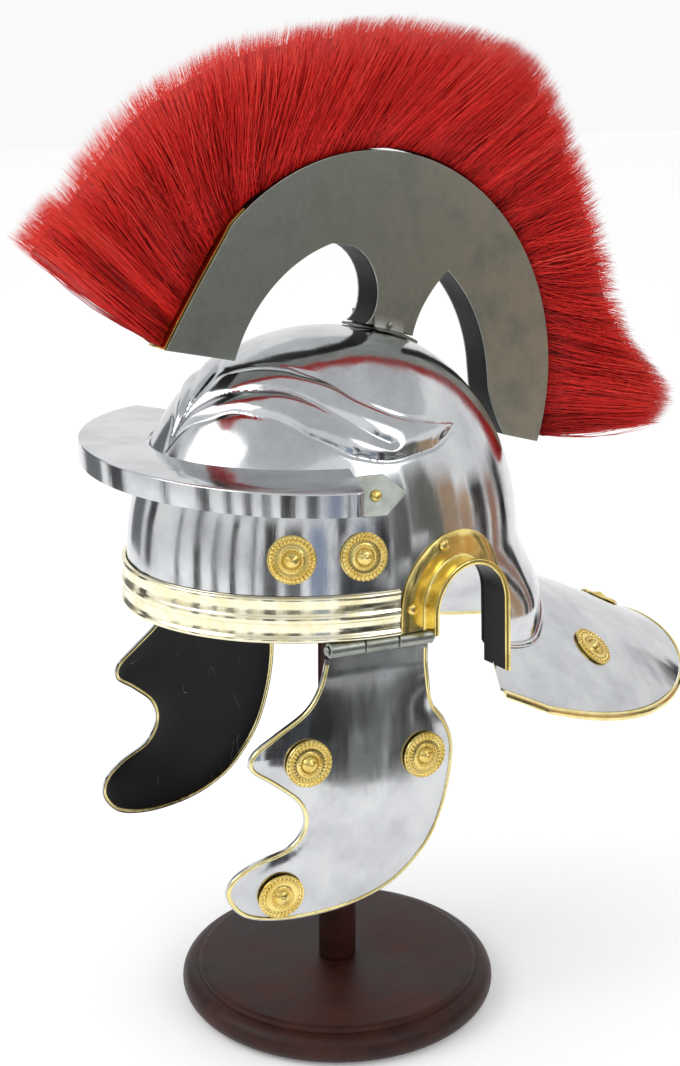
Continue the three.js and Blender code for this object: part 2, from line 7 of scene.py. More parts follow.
# %% Load the frame
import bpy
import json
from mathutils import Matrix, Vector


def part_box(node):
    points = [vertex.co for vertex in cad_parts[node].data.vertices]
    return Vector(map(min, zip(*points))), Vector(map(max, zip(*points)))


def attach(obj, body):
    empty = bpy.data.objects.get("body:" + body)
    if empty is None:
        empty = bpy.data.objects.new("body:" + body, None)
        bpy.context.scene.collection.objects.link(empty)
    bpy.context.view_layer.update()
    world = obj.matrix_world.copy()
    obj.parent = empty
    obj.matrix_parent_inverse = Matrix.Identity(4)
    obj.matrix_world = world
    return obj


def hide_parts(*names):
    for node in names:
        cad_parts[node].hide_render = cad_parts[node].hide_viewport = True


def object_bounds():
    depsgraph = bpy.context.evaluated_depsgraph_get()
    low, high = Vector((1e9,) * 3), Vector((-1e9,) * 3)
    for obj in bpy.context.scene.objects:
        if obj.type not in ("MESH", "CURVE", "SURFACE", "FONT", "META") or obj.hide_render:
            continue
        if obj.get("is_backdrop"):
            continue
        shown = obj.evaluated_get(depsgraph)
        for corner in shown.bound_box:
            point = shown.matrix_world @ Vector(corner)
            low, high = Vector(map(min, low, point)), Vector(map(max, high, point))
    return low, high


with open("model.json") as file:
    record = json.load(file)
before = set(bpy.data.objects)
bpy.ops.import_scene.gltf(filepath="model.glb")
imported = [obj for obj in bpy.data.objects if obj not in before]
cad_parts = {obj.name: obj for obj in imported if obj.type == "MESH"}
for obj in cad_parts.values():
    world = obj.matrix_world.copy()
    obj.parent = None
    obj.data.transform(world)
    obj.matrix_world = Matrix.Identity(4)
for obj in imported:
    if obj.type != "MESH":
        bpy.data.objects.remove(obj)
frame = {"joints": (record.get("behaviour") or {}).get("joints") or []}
CAD_LOW, CAD_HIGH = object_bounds()

# %% [markdown]
# ## Tools from the libraries
# The shapes are worked out as arrays of points in millimetres, as a metalworker would draw them, and are
# turned into metres only when a mesh is made.

# %% Libraries
import json
import math

import bmesh
import bpy
import numpy as np
from mathutils import Vector
from mathutils.geometry import delaunay_2d_cdt

MM = 0.001
rng = np.random.default_rng(7)


def mm_box(node):
    """Lowest and highest corner of a node of the frame, in millimetres."""
    low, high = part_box(node)
    return np.array(low) / MM, np.array(high) / MM


bowl_low, bowl_high = mm_box("bowl")
base_high = mm_box("stand_base")[1]
print("bowl", bowl_low.round(1), bowl_high.round(1))

# %% [markdown]
# ## Camera
# The helmet is seen from its front left, a little above the brow, with a normal to short telephoto lens.
# The lens is given for the long side of the frame.

# %% Camera
EYE = Vector((0.7521, -0.4834, 0.5346))
LOOK = Vector((-0.8082, 0.5215, -0.2737))
camera_data = bpy.data.cameras.new("view")
camera_data.sensor_width = 36.0
camera_data.lens = 56.3
camera_data.clip_start = 0.01
camera = bpy.data.objects.new("view", camera_data)
camera.location = EYE
camera.rotation_euler = LOOK.to_track_quat("-Z", "Y").to_euler()
bpy.context.scene.collection.objects.link(camera)
bpy.context.scene.camera = camera
print("camera distance", round(EYE.length, 3))

# %% [markdown]
# ## Shader maths
# A shader is a tree of nodes. `Signal` wraps one output socket, so that sums on it can be written as plain
# expressions, each of which adds a Math node. `node` adds any other kind: its settings go in first, and
# then the values or links of its sockets.

# %% The Signal class
class Signal:
    def __init__(self, tree, socket):
        self.tree = tree
        self.socket = socket

    def node(self, kind, settings=None, inputs=None, out=0):
        made = self.tree.nodes.new(kind)
        for key, value in (settings or {}).items():
            if key == "stops":
                set_stops(made.color_ramp, value)
            else:
                setattr(made, key, value)
        for key, value in (inputs or {}).items():
            plug(self.tree, made.inputs[key], value)
        return Signal(self.tree, made.outputs[out])

    def maths(self, operation, *values):
        return self.node("ShaderNodeMath", {"operation": operation}, dict(enumerate(values)))

    def __add__(self, other):
        return self.maths("ADD", self, other)

    def __sub__(self, other):
        return self.maths("SUBTRACT", self, other)

    def __rsub__(self, other):
        return self.maths("SUBTRACT", other, self)

    def __mul__(self, other):
        return self.maths("MULTIPLY", self, other)

    def __pow__(self, other):
        return self.maths("POWER", self, other)

    __radd__ = __add__
    __rmul__ = __mul__


def plug(tree, socket, value):
    if isinstance(value, Signal):
        tree.links.new(value.socket, socket)
    else:
        socket.default_value = value


def set_stops(ramp, stops):
    while len(ramp.elements) < len(stops):
        ramp.elements.new(0.5)
    for element, (position, color) in zip(ramp.elements, stops):
        element.position = position
        element.color = (*color, 1.0)


# %% [markdown]
# ## Small helpers for finishes
# Every finish starts from the place of a point on its piece, which stays put when a piece swings. From it
# come fine and coarse noises, stretched along one direction where a cloth or a wheel has been at work.

# %% Helpers for finishes
class Finish:
    """A material with its shader, and the point on the piece as a signal."""

    def __init__(self, name, **constants):
        self.material = bpy.data.materials.new(name)
        self.material.use_nodes = True
        self.tree = self.material.node_tree
        self.shader = self.tree.nodes["Principled BSDF"]
        for key, value in constants.items():
            self.shader.inputs[key.replace("_", " ")].default_value = value
        start = Signal(self.tree, None)
        self.place = start.node("ShaderNodeTexCoord", out=3)

    def stretched(self, x, y, z):
        inputs = {0: self.place, 1: (x, y, z)}
        return self.place.node("ShaderNodeVectorMath", {"operation": "MULTIPLY"}, inputs)

    def noise(self, place, scale, detail=3.0, rough=0.5):
        inputs = {"Vector": place, "Scale": scale, "Detail": detail, "Roughness": rough}
        return place.node("ShaderNodeTexNoise", None, inputs)

    def ramp(self, signal, stops):
        return signal.node("ShaderNodeValToRGB", {"stops": stops}, {"Fac": signal})

    def grey(self, signal, low, high):
        """A mask: 0 below low, 1 above high, straight between."""
        inputs = {"Value": signal, "From Min": low, "From Max": high}
        return signal.node("ShaderNodeMapRange", {"clamp": True}, inputs)

    def mixed(self, factor, a, b):
        return factor.node("ShaderNodeMix", {"data_type": "RGBA"}, {0: factor, 6: a, 7: b}, out=2)

    def set(self, **signals):
        for key, value in signals.items():
            plug(self.tree, self.shader.inputs[key.replace("_", " ")], value)

    def bump(self, height, strength, distance, under=None):
        inputs = {"Height": height, "Strength": strength, "Distance": distance}
        if under is not None:
            inputs["Normal"] = under
        made = height.node("ShaderNodeBump", None, inputs)
        self.set(Normal=made)
        return made


def rgb(text):
    """A colour in the shader's linear scale, from a hex colour as on a paint card."""
    parts = [int(text[i:i + 2], 16) / 255 for i in (0, 2, 4)]
    return tuple(((p + 0.055) / 1.055) ** 2.4 if p > 0.04045 else p / 12.92 for p in parts)


def rgba(text):
    return (*rgb(text), 1.0)


print("blue-white check", [round(c, 3) for c in rgb("FFFFFF")])

# %% [markdown]
# ## Polished steel
# The bowl, the peak, the neck guard and the cheek guards are mild steel, polished on a wheel. Such a sheet is
# never quite even: it keeps shallow waves from raising, upright buffing marks, and cloudy patches. The waves
# bend its reflections into streaks, so they are a broad soft bump under a very fine one.

# %% Polished steel
polished_steel = Finish("wheel_polished_steel", Metallic=1.0)
f = polished_steel
upright = f.stretched(1.0, 1.0, 0.10)
waves = f.noise(upright, 26.0, 2.0, 0.45)
buffing = f.noise(upright, 420.0, 3.0, 0.6)
clouds = f.noise(f.place, 38.0, 4.0, 0.6)
haze = f.grey(clouds, 0.38, 0.72)
f.set(Base_Color=f.mixed(haze, rgba("D2D4D6"), rgba("B9BBBF")))
f.set(Roughness=haze * 0.08 + buffing * 0.12 + 0.05)
soft = f.bump(waves, 0.30, 0.004)
f.bump(buffing, 0.035, 0.0006, soft)
print(polished_steel.material.name, len(f.tree.nodes), "nodes")

# %% [markdown]
# ## Satin steel
# The crest box's cheeks, the two tabs and the hinges were left satin from the abrasive belt: greyer, softer
# in their reflections, with short scratches and a few dull stains.

# %% Satin steel
satin_steel = Finish("belt_satin_steel", Metallic=1.0)
f = satin_steel
belt = f.stretched(1.0, 1.0, 0.35)
grain = f.noise(belt, 520.0, 4.0, 0.65)
stain = f.noise(f.place, 55.0, 5.0, 0.62)
spots = f.grey(stain, 0.40, 0.66)
f.set(Base_Color=f.mixed(spots, rgba("A8ACA6"), rgba("8A8E87")))
f.set(Roughness=spots * 0.10 + grain * 0.12 + 0.24)
f.bump(grain, 0.10, 0.0004)
print(satin_steel.material.name, len(f.tree.nodes), "nodes")

# %% [markdown]
# ## Brass
# Bands, edgings, ear guards and rosettes are yellow brass, bright on top and a little tarnished in the
# hollows. A broad noise warms the colour in patches, and a fine one breaks up the gloss.

# %% Brass
def yellow_metal(name, bright, dull, gloss):
    f = Finish(name, Metallic=1.0)
    tarnish = f.grey(f.noise(f.place, 90.0, 4.0, 0.6), 0.42, 0.72)
    scuffs = f.noise(f.place, 620.0, 3.0, 0.6)
    f.set(Base_Color=f.mixed(tarnish, rgba(bright), rgba(dull)))
    f.set(Roughness=tarnish * 0.10 + scuffs * 0.10 + gloss)
    f.bump(f.noise(f.place, 160.0, 2.0, 0.5) * 0.8 + scuffs * 0.2, 0.10, 0.0008)
    print(name, len(f.tree.nodes), "nodes")
    return f


brass = yellow_metal("bright_brass", "F2D77C", "D8B256", 0.08)
pale_brass = yellow_metal("pale_brass", "F8F2D8", "EEE3B4", 0.07)
edge_brass = yellow_metal("edge_brass", "F6E9AC", "E2CC7C", 0.10)
pressed_brass = yellow_metal("pressed_brass", "F4DD8C", "DDBB5C", 0.16)
ear_brass = yellow_metal("ear_brass", "F4E08E", "DCC070", 0.10)

# %% [markdown]
# ## Black paint
# The insides of the steel sheets are painted black, with pale nicks where the paint was knocked. Nicks are
# thin, so they come from a narrow slice of a noise: only where it crosses its middle value.

# %% Black paint
black_paint = Finish("black_paint", Metallic=0.0, Specular_IOR_Level=0.22)
f = black_paint
lines = f.noise(f.stretched(1.0, 2.2, 0.7), 46.0, 1.0, 0.4)
crossing = f.grey((lines - 0.5).maths("ABSOLUTE", lines - 0.5), 0.0, 0.0035)
where = f.grey(f.noise(f.place, 60.0, 2.0, 0.5), 0.60, 0.64)
nick = (1 - crossing) * where
f.set(Base_Color=f.mixed(nick, rgba("0E0E10"), rgba("8E9296")))
f.set(Roughness=nick * 0.2 + f.noise(f.place, 210.0, 4.0, 0.6) * 0.25 + 0.20)
f.bump(f.noise(f.place, 900.0, 3.0, 0.6), 0.12, 0.0004)
print(black_paint.material.name, len(f.tree.nodes), "nodes")

# %% [markdown]
# ## Woods
# The stand is turned from a close-grained wood stained dark red-brown and waxed. Its grain runs one way
# across the foot, as in a board. The crest box's core is painted black, so only a trace of grain shows.

# %% Woods
def wood(name, light, dark, worn, gloss):
    f = Finish(name, Coat_Weight=0.06, Coat_Roughness=0.3, Specular_IOR_Level=0.25)
    board = f.stretched(1.0, 0.12, 1.0)
    rings = f.noise(board, 95.0, 5.0, 0.65)
    pores = f.noise(f.stretched(1.0, 0.05, 1.0), 620.0, 2.0, 0.5)
    patches = f.grey(f.noise(f.place, 24.0, 4.0, 0.6), 0.42, 0.70)
    base = f.ramp(rings, [(0.30, rgb(dark)), (0.52, rgb(light)), (0.72, rgb(dark))])
    f.set(Base_Color=f.mixed(patches * 0.6, base, rgba(worn)))
    f.set(Roughness=patches * 0.14 + pores * 0.16 + gloss)
    f.bump(pores * 0.6 + rings * 0.4, 0.22, 0.0006)
    print(name, len(f.tree.nodes), "nodes")
    return f


dark_wood = wood("stained_wood", "28110B", "110705", "4E1F14", 0.34)
black_wood = wood("blackened_wood", "121010", "080707", "171412", 0.42)

# %% [markdown]
# ## Horsehair
# The crest is real dyed horsehair. Each strand carries a tone number in its mesh: low near its root and
# in shaded tufts, high near its tip. The finish turns that into a red from nearly maroon to scarlet: the dark
# roots are painted shade and the bright tips a painted highlight, over random tone from tuft to tuft.

# %% Horsehair
red_hair = Finish("dyed_red_horsehair", Metallic=0.0, Specular_IOR_Level=0.25)
f = red_hair
tone = f.place.node("ShaderNodeAttribute", {"attribute_name": "tone"}, out=2)
flecks = f.noise(f.place, 330.0, 3.0, 0.6)
painted_light_and_tone = tone + (flecks - 0.5) * 0.25
# from the maroon at the roots, which is painted shade, to the palest scarlet at the tips, which is a painted
# highlight
reds = [(0.0, rgb("5A0504")), (0.30, rgb("BC1410")), (0.62, rgb("E92A22")), (1.0, rgb("FF5F4E"))]
f.set(Base_Color=f.ramp(painted_light_and_tone, reds))
f.set(Roughness=flecks * 0.2 + 0.42)
print(red_hair.material.name, len(f.tree.nodes), "nodes")

# %% [markdown]
# ## From arrays to pieces
# A piece is one closed skin. `add_piece` makes its mesh, joins points that coincide, turns every face
# outwards, shades it smooth except across real edges, and puts it on its body of the frame.

# %% Making a mesh
def to_mesh(name, points, faces):
    mesh = bpy.data.meshes.new(name)
    mesh.from_pydata((np.asarray(points, float) * MM).tolist(), [], [list(map(int, face)) for face in faces])
    shape = bmesh.new()
    shape.from_mesh(mesh)
    bmesh.ops.remove_doubles(shape, verts=shape.verts, dist=2e-6)
    bmesh.ops.recalc_face_normals(shape, faces=shape.faces)
    shape.to_mesh(mesh)
    shape.free()
    return mesh


def link(name, mesh):
    thing = bpy.data.objects.new(name, mesh)
    bpy.context.scene.collection.objects.link(thing)
    return thing


def finished(thing, finishes, body, nodes=(), crease=32.0):
    """Shades and paints a piece that is already in place, puts it on its body and hides the nodes it
    replaces.
    """
    mesh = thing.data
    mesh.shade_smooth()
    mesh.set_sharp_from_angle(angle=math.radians(crease))
    mesh.materials.clear()
    for finish in finishes:
        mesh.materials.append(finish.material)
    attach(thing, body)
    if nodes:
        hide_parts(*nodes)
    return thing


def paint_columns(thing, width, columns):
    """Gives the second finish to some columns of a loft that is width points round."""
    for face in thing.data.polygons:
        if face.index % width in columns and len(face.vertices) == 4:
            face.material_index = 1


def add_piece(name, skin, finish, body, nodes=(), crease=32.0):
    return finished(link(name, to_mesh(name, *skin)), [finish], body, nodes, crease)


def mirror(skin):
    """The same skin for the wearer's right side."""
    points, faces = skin
    return np.asarray(points) * (-1, 1, 1), faces


def sided(skin, side):
    """A skin made for the left side, mirrored where the side is the right."""
    return skin if side == "left" else mirror(skin)


def side_sign(side):
    return 1 if side == "left" else -1


# %% [markdown]
# ## Grids, lofts and turned shapes
# Nearly every piece here is a row of sections: a wheel of them for a turned part, a line of them for a
# rolled edge or a band. `loft` joins one section to the next and closes both ends.

# %% Lofts and turned shapes
def loft(sections, ring=False):
    """Skin through sections, an array (stations, points, 3). A ring joins its last station to its first."""
    sections = np.asarray(sections, float)
    stations, width = sections.shape[:2]
    row = np.arange(stations if ring else stations - 1)
    row, column = np.meshgrid(row, np.arange(width), indexing="ij")
    after = (row + 1) % stations
    beside = (column + 1) % width
    corners = (row * width + column, after * width + column, after * width + beside, row * width + beside)
    faces = np.stack(corners, -1).reshape(-1, 4).tolist()
    if not ring:
        faces.append(list(range(width)))
        faces.append(list(range((stations - 1) * width, stations * width)))
    return sections.reshape(-1, 3), faces


def turned(profile, sides, wave=None):
    """A turned skin from (radius, height) pairs. wave(radius, turn) adds height, as a chaser's punch does."""
    radius, height = np.asarray(profile, float).T
    turn = np.arange(sides) * 2 * np.pi / sides
    extra = 0 if wave is None else wave(radius[None, :], turn[:, None])
    x = radius * np.cos(turn)[:, None]
    y = radius * np.sin(turn)[:, None]
    z = height + np.zeros((sides, 1)) + extra
    points, faces = loft(np.stack([x, y, z], -1), ring=True)
    width = len(radius)
    return points, [face for face in faces if face[0] % width != width - 1]


def smooth(t):
    t = np.clip(t, 0, 1)
    return t * t * (3 - 2 * t)


def curve(points, steps):
    """A smooth line through the points, with steps samples between each two."""
    points = np.asarray(points, float)
    ends = np.concatenate([2 * points[:1] - points[1:2], points, 2 * points[-1:] - points[-2:-1]])
    t = np.linspace(0, 1, steps, endpoint=False)[:, None]
    runs = []
    for a, b, c, d in zip(ends[:-3], ends[1:-2], ends[2:-1], ends[3:]):
        square = 2 * a - 5 * b + 4 * c - d
        cube = 3 * b - a - 3 * c + d
        runs.append(0.5 * (2 * b + (c - a) * t + square * t**2 + cube * t**3))
    return np.concatenate([*runs, points[-1:]])


def even(path, count):
    """The path again, with count points at equal steps along it."""
    steps = np.linalg.norm(np.diff(path, axis=0), axis=1)
    run = np.concatenate([[0], np.cumsum(steps)])
    where = np.linspace(0, run[-1], count)
    return np.stack([np.interp(where, run, path[:, k]) for k in range(path.shape[1])], -1)


def unit(vectors):
    return vectors / np.linalg.norm(vectors, axis=-1, keepdims=True)


def beside(path, distance):
    """A flat path moved to its right by a distance."""
    along = unit(np.gradient(path, axis=0))
    return path + np.stack([along[:, 1], -along[:, 0]], -1) * distance


def near(points, line):
    """Distance from each point to a line of many samples."""
    found = [np.linalg.norm(points[:, None] - part[None], axis=2).min(1) for part in np.array_split(line, 6)]
    return np.min(found, axis=0)


# %% [markdown]
# ## Flat outlines and cutting
# A sheet with a free outline, such as a cheek guard, is filled with a net of triangles that follows its
# edge and is even inside. Two solid shapes are cut or joined with a Boolean modifier, which is then applied.

# %% Filling and cutting
def inside(points, outline):
    x, y = points[:, 0, None], points[:, 1, None]
    ax, ay = outline[:, 0], outline[:, 1]
    bx, by = np.roll(ax, -1), np.roll(ay, -1)
    crosses = ((ay > y) != (by > y)) & (x < (bx - ax) * (y - ay) / np.where(by == ay, 1, by - ay) + ax)
    return crosses.sum(1) % 2 == 1


def filled(outline, spacing):
    """Points and triangles that fill an outline. The outline's own points come first."""
    low, high = outline.min(0), outline.max(0)
    grid = np.stack(np.meshgrid(*[np.arange(a, b, spacing) for a, b in zip(low, high)]), -1).reshape(-1, 2)
    clear = np.linalg.norm(grid[:, None] - outline[None], axis=2).min(1) > spacing * 0.6
    net = np.concatenate([outline, grid[clear & inside(grid, outline)]])
    count = len(outline)
    edges = [(i, (i + 1) % count) for i in range(count)]
    points, _, faces, *_ = delaunay_2d_cdt([Vector(p) for p in net], edges, [], 0, 1e-7, False)
    points, faces = np.array(points), np.array(faces)
    return points, faces[inside(points[faces].mean(1), outline)].tolist(), count


def sheet_skin(outline, spacing, front, back):
    """A sheet between two surfaces, each a function from flat points to points in space."""
    flat, triangles, count = filled(outline, spacing)
    total = len(flat)
    faces = list(triangles) + [[i + total for i in face[::-1]] for face in triangles]
    for i in range(count):
        j = (i + 1) % count
        faces.append([i, j, j + total, i + total])
    return np.concatenate([front(flat), back(flat)]), faces


def applied(thing):
    """Applies a thing's modifiers, and takes them off."""
    view = bpy.context.evaluated_depsgraph_get()
    mesh = bpy.data.meshes.new_from_object(thing.evaluated_get(view))
    thing.modifiers.clear()
    thing.data = mesh
    return thing


def cut(thing, skin, operation="DIFFERENCE"):
    """Cuts a skin away from a thing, or joins it on."""
    tool = link("tool", to_mesh("tool", *skin))
    step = thing.modifiers.new("cut", "BOOLEAN")
    step.operation = operation
    step.solver = "MANIFOLD"
    step.object = tool
    applied(thing)
    bpy.data.objects.remove(tool)
    return thing


def soften(thing, width, segments=2):
    """Rounds a thing's sharp edges a little, so that they catch the light."""
    step = thing.modifiers.new("soften", "BEVEL")
    step.width = width * MM
    step.segments = segments
    step.limit_method = "ANGLE"
    step.angle_limit = math.radians(50)
    step.harden_normals = True
    return applied(thing)


def slab(outline, low, high, axis=0):
    """A straight block over an outline, which is given on the other two axes."""
    count = len(outline)
    ends = [np.insert(np.asarray(outline, float), axis, level, axis=1) for level in (low, high)]
    faces = [list(range(count)), list(range(count, 2 * count))]
    for i in range(count):
        j = (i + 1) % count
        faces.append([i, j, j + count, i + count])
    return np.concatenate(ends), faces


# %% [markdown]
# ## The stand
# The stand is turned on a lathe: a heavy disc foot with a rounded edge, a plain post, and a shallow domed
# knob under the crown. On the lathe each is one profile, so here each is one profile spun round its axis.

# %% The stand
FOOT_HEIGHT = base_high[2]
FOOT_RADIUS = base_high[0]
post_low, post_high = mm_box("stand_post")
head_low, head_high = mm_box("stand_head")


def rounded(radius, low, high, corner_low, corner_high, steps=9):
    """Profile of a disc with rounded lower and upper edges, from the axis out and back."""
    profile = [(0, low)]
    for i in range(steps + 1):
        turn = math.pi / 2 * i / steps
        profile.append((radius - corner_low * (1 - math.sin(turn)), low + corner_low * (1 - math.cos(turn))))
    for i in range(steps + 1):
        turn = math.pi / 2 * i / steps
        inward = corner_high * (1 - math.cos(turn))
        profile.append((radius - inward, high - corner_high * (1 - math.sin(turn))))
    return profile + [(0, high)]


EDGE_TOP = FOOT_HEIGHT * 0.87
foot_profile = rounded(FOOT_RADIUS, 0.0, EDGE_TOP, EDGE_TOP * 0.5, EDGE_TOP * 0.5)[:-1]
step = [(9.2, 0), (9.6, 0.3), (10.2, 0.75), (11.2, 0.95), (13, 1.0)]
foot_profile += [(FOOT_RADIUS - into, EDGE_TOP + (FOOT_HEIGHT - EDGE_TOP) * rise) for into, rise in step]
foot_profile += [(FOOT_RADIUS * 0.5, FOOT_HEIGHT), (0, FOOT_HEIGHT)]
add_piece("stand_foot", turned(foot_profile, 120), dark_wood, "helmet", ["stand_base"])
post_profile = rounded(post_high[0], post_low[2], post_high[2], 0.6, 0.6, 3)
add_piece("stand_post_turned", turned(post_profile, 48), dark_wood, "helmet", ["stand_post"])

HEAD_RADIUS = (head_high[0] - head_low[0]) / 2
HEAD_Y = (head_high[1] + head_low[1]) / 2
dome = [(HEAD_RADIUS * s, head_high[2] - 12.5 * s * s) for s in np.linspace(1, 0, 12)]
head_profile = rounded(HEAD_RADIUS, head_low[2], dome[0][1], 3.0, 0.2, 4)[:-1] + dome
points, faces = turned(head_profile, 64)
add_piece("stand_knob", (points + (0, HEAD_Y, 0), faces), dark_wood, "helmet", ["stand_head"])
print("foot", FOOT_RADIUS, "x", FOOT_HEIGHT, "post to", round(post_high[2], 1))

# %% [markdown]
# ## The neck guard's surface
# The neck guard falls away backwards and is arched from side to side. One small formula gives its height
# anywhere, and the bowl's nape, the ear guards and the rosettes all ask it where the sheet is.

# %% Neck guard height
GUARD_ROOT = 248.0
GUARD_FALL = 0.4
GUARD_SAG = 0.0004
GUARD_ARCH = 0.0049
GUARD_PIVOT_Y = 105.0
guard_high = mm_box("neck_guard")[1]
GUARD_HALF = guard_high[0]
GUARD_WIDEST_Y = 62.0
GUARD_LENGTH = guard_high[1] - GUARD_WIDEST_Y


def guard_height(x, y):
    back = y - GUARD_PIVOT_Y
    return GUARD_ROOT - GUARD_FALL * back - GUARD_SAG * back * back - GUARD_ARCH * x * x


print("neck guard half width", round(GUARD_HALF, 1), "length behind that", round(GUARD_LENGTH, 1))

# %% [markdown]
# ## The bowl's form
# In plan the bowl is an ellipse, and upright it is a squared ellipse that closes in above the shoulder.
# Below the shoulder it is straight at the brow and turns out a little at the nape.

# %% Bowl form
CENTRE_Y = -8.0
HALF_WIDTH = 96.0
HALF_LENGTH = 112.6
SHOULDER = 268.0
TOP = bowl_high[2]
FULL = 2.2
RIM = 253.5
FORM_LOW = RIM - 8
FLARE = 0.13
FLARE_TOP = 284.0
FLARE_DROP = 42.0
FLARE_FROM_Y = 30.0
FLARE_RUN = 40.0
UNDER_GUARD = 20.0    # the plain form goes on this far below the guard, before it is cut
UNDER_FROM_Y = 6.0
UNDER_RUN = 24.0
WALL = 1.6
# where rows and columns of the grid lie: closer together over the embossed eyebrows
ROWS = ((0, 0.14, 0.80, 1), (np.pi / 2, 1.32, 0.50, 0))
COLUMNS = ((0, 0.84, 1), (-3.65, 0.52, 2 * np.pi - 3.65))


def nape_flare(y, z):
    """How much wider the bowl is at the nape, where it turns out to meet the neck guard."""
    return 1 + FLARE * smooth((y - FLARE_FROM_Y) / FLARE_RUN) * smooth((FLARE_TOP - z) / FLARE_DROP)


def bowl_skin(offset, sides, rises, walls, emboss=None):
    """The solid form of the bowl grown by an offset, closed below by a flat fan."""
    share = np.sin(np.interp(np.linspace(0, 1, rises + 1)[:-1], *ROWS))
    radius = (1 - np.clip(share, 0, 1) ** FULL) ** (1 / FULL)
    height = SHOULDER + (TOP + offset - SHOULDER) * share
    down = np.linspace(0, 1, walls)
    radius = np.concatenate([radius, np.ones(walls), [0]])
    height = np.concatenate([height, SHOULDER - (SHOULDER - FORM_LOW) * down, [FORM_LOW]])
    turn = np.interp(np.arange(sides) / sides, *COLUMNS)
    x = radius * np.cos(turn)[:, None] * (HALF_WIDTH + offset)
    y = CENTRE_Y + radius * np.sin(turn)[:, None] * (HALF_LENGTH + offset)
    z = height + np.zeros((sides, 1))
    below = np.clip((SHOULDER - z) / (SHOULDER - FORM_LOW), 0, 1)
    drop = guard_height(x, y) - UNDER_GUARD - FORM_LOW
    bottom = FORM_LOW + drop * smooth((y - UNDER_FROM_Y) / UNDER_RUN)
    z = np.where(z < SHOULDER, SHOULDER + (bottom - SHOULDER) * below, z)
    z[:, -1] = FORM_LOW
    flare = nape_flare(y, z)
    grid = np.stack([x * flare, CENTRE_Y + (y - CENTRE_Y) * flare, z], -1)
    if emboss is not None:
        grid = emboss(grid)
    points, faces = loft(grid, ring=True)
    width = grid.shape[1]
    return points, [face for face in faces if face[0] % width != width - 1]


def bowl_side(y, z, offset=0.0):
    """How far out the bowl's side is at a given y and z."""
    rise = np.clip((z - SHOULDER) / (TOP + offset - SHOULDER), 0, 1)
    share = (1 - rise**FULL) ** (1 / FULL)
    flare = np.ones_like(share)
    for _ in range(4):
        plain = CENTRE_Y + (y - CENTRE_Y) / flare
        flare = nape_flare(plain, z)
    back = (plain - CENTRE_Y) / (HALF_LENGTH + offset)
    return flare * (HALF_WIDTH + offset) * np.sqrt(share**2 - back**2)


def bowl_height(x, y, offset=0.0):
    """The height of the crown over a plan point."""
    reach = np.sqrt((x / (HALF_WIDTH + offset)) ** 2 + ((y - CENTRE_Y) / (HALF_LENGTH + offset)) ** 2)
    return SHOULDER + (TOP + offset - SHOULDER) * (1 - np.clip(reach, 0, 1) ** FULL) ** (1 / FULL)


def bowl_normal(x, y, z):
    rise = np.clip((z - SHOULDER) / (TOP - SHOULDER), 0, 1)
    share = (1 - rise**FULL) ** (1 / FULL)
    steep = rise ** (FULL - 1) * share ** (2 - FULL)
    return unit(np.stack([x / HALF_WIDTH**2, (y - CENTRE_Y) / HALF_LENGTH**2, steep / (TOP - SHOULDER)], -1))


ear_side = bowl_side(np.array(13.0), np.array(290.0))
print("bowl top", round(TOP, 1), "side at the ear", round(float(ear_side), 1))

# %% [markdown]
# ## The embossed eyebrows
# Above the peak the smith raised two long ribs on each side, like a pair of brows: three chased lines start
# at the middle of the brow, sweep back, and meet at a point above the ear. Between the lines the metal
# swells, and along them it is chased in. The lines are drawn in plan and their height follows the crown.

# %% Embossed eyebrows
BROW_LOW = [(0, -104), (7, -97), (19, -90), (29, -82), (40, -75), (50, -67), (57, -62), (64, -56), (74, -43),
            (79, -32), (81.5, -22), (82, -11), (80, 7), (75, 20), (69, 30)]
BROW_MIDDLE = [(0, -102), (3, -92), (12, -83), (20, -77), (30, -69), (41, -59), (54, -49), (61, -43),
               (69, -34), (75, -25), (78, -18)]
BROW_HIGH = [(0, -100), (0, -86), (2, -74), (12, -65), (22, -57), (32, -50), (40, -45), (51, -36), (61, -28),
             (68, -17), (71.5, -7), (72.5, 5), (71.5, 18), (69, 30)]
RIB = 1.6
RIB_EDGE = 3.8
CHASED = 0.55
CHASED_WIDTH = 1.3
BROW_ZONE = (336, 388)
BROW_BACK_Y = 38


def on_crown(line):
    flat = curve(line, 14)
    return np.column_stack([flat, bowl_height(flat[:, 0], flat[:, 1])])


def emboss(grid):
    points = grid.reshape(-1, 3).copy()
    folded = points.copy()
    folded[:, 0] = np.abs(folded[:, 0])
    zone = (folded[:, 2] > BROW_ZONE[0]) & (folded[:, 2] < BROW_ZONE[1]) & (folded[:, 1] < BROW_BACK_Y)
    here = folded[zone]
    low, middle, high = on_crown(BROW_LOW), on_crown(BROW_MIDDLE), on_crown(BROW_HIGH)
    nearest = np.minimum(np.minimum(near(here, low), near(here, middle)), near(here, high))
    within = inside(here[:, :2], np.concatenate([low[:, :2], high[::-1, :2]]))
    swell = np.where(within, RIB * (1 - np.exp(-((nearest / RIB_EDGE) ** 2))), 0)
    rise = swell - CHASED * np.exp(-((nearest / CHASED_WIDTH) ** 2))
    outward = bowl_normal(points[zone][:, 0], points[zone][:, 1], points[zone][:, 2])
    points[zone] += outward * rise[:, None]
    print("embossed points", int(zone.sum()), "highest", round(float(rise.max()), 2))
    return points.reshape(grid.shape)


# %% [markdown]
# ## The bowl
# The form is made solid and fine, its inside is taken out of it, and then the rim, the nape and the two
# arched ear openings are cut, in the order a smith would raise and then trim it. The inside is painted.

# %% The ear opening
EAR_FRONT_Y = -8.0
EAR_REAR_Y = 34.0
EAR_SPRING = 264.0
EAR_TOP = 287.0
EAR_MIDDLE = (EAR_FRONT_Y + EAR_REAR_Y) / 2
EAR_HALF = (EAR_REAR_Y - EAR_FRONT_Y) / 2


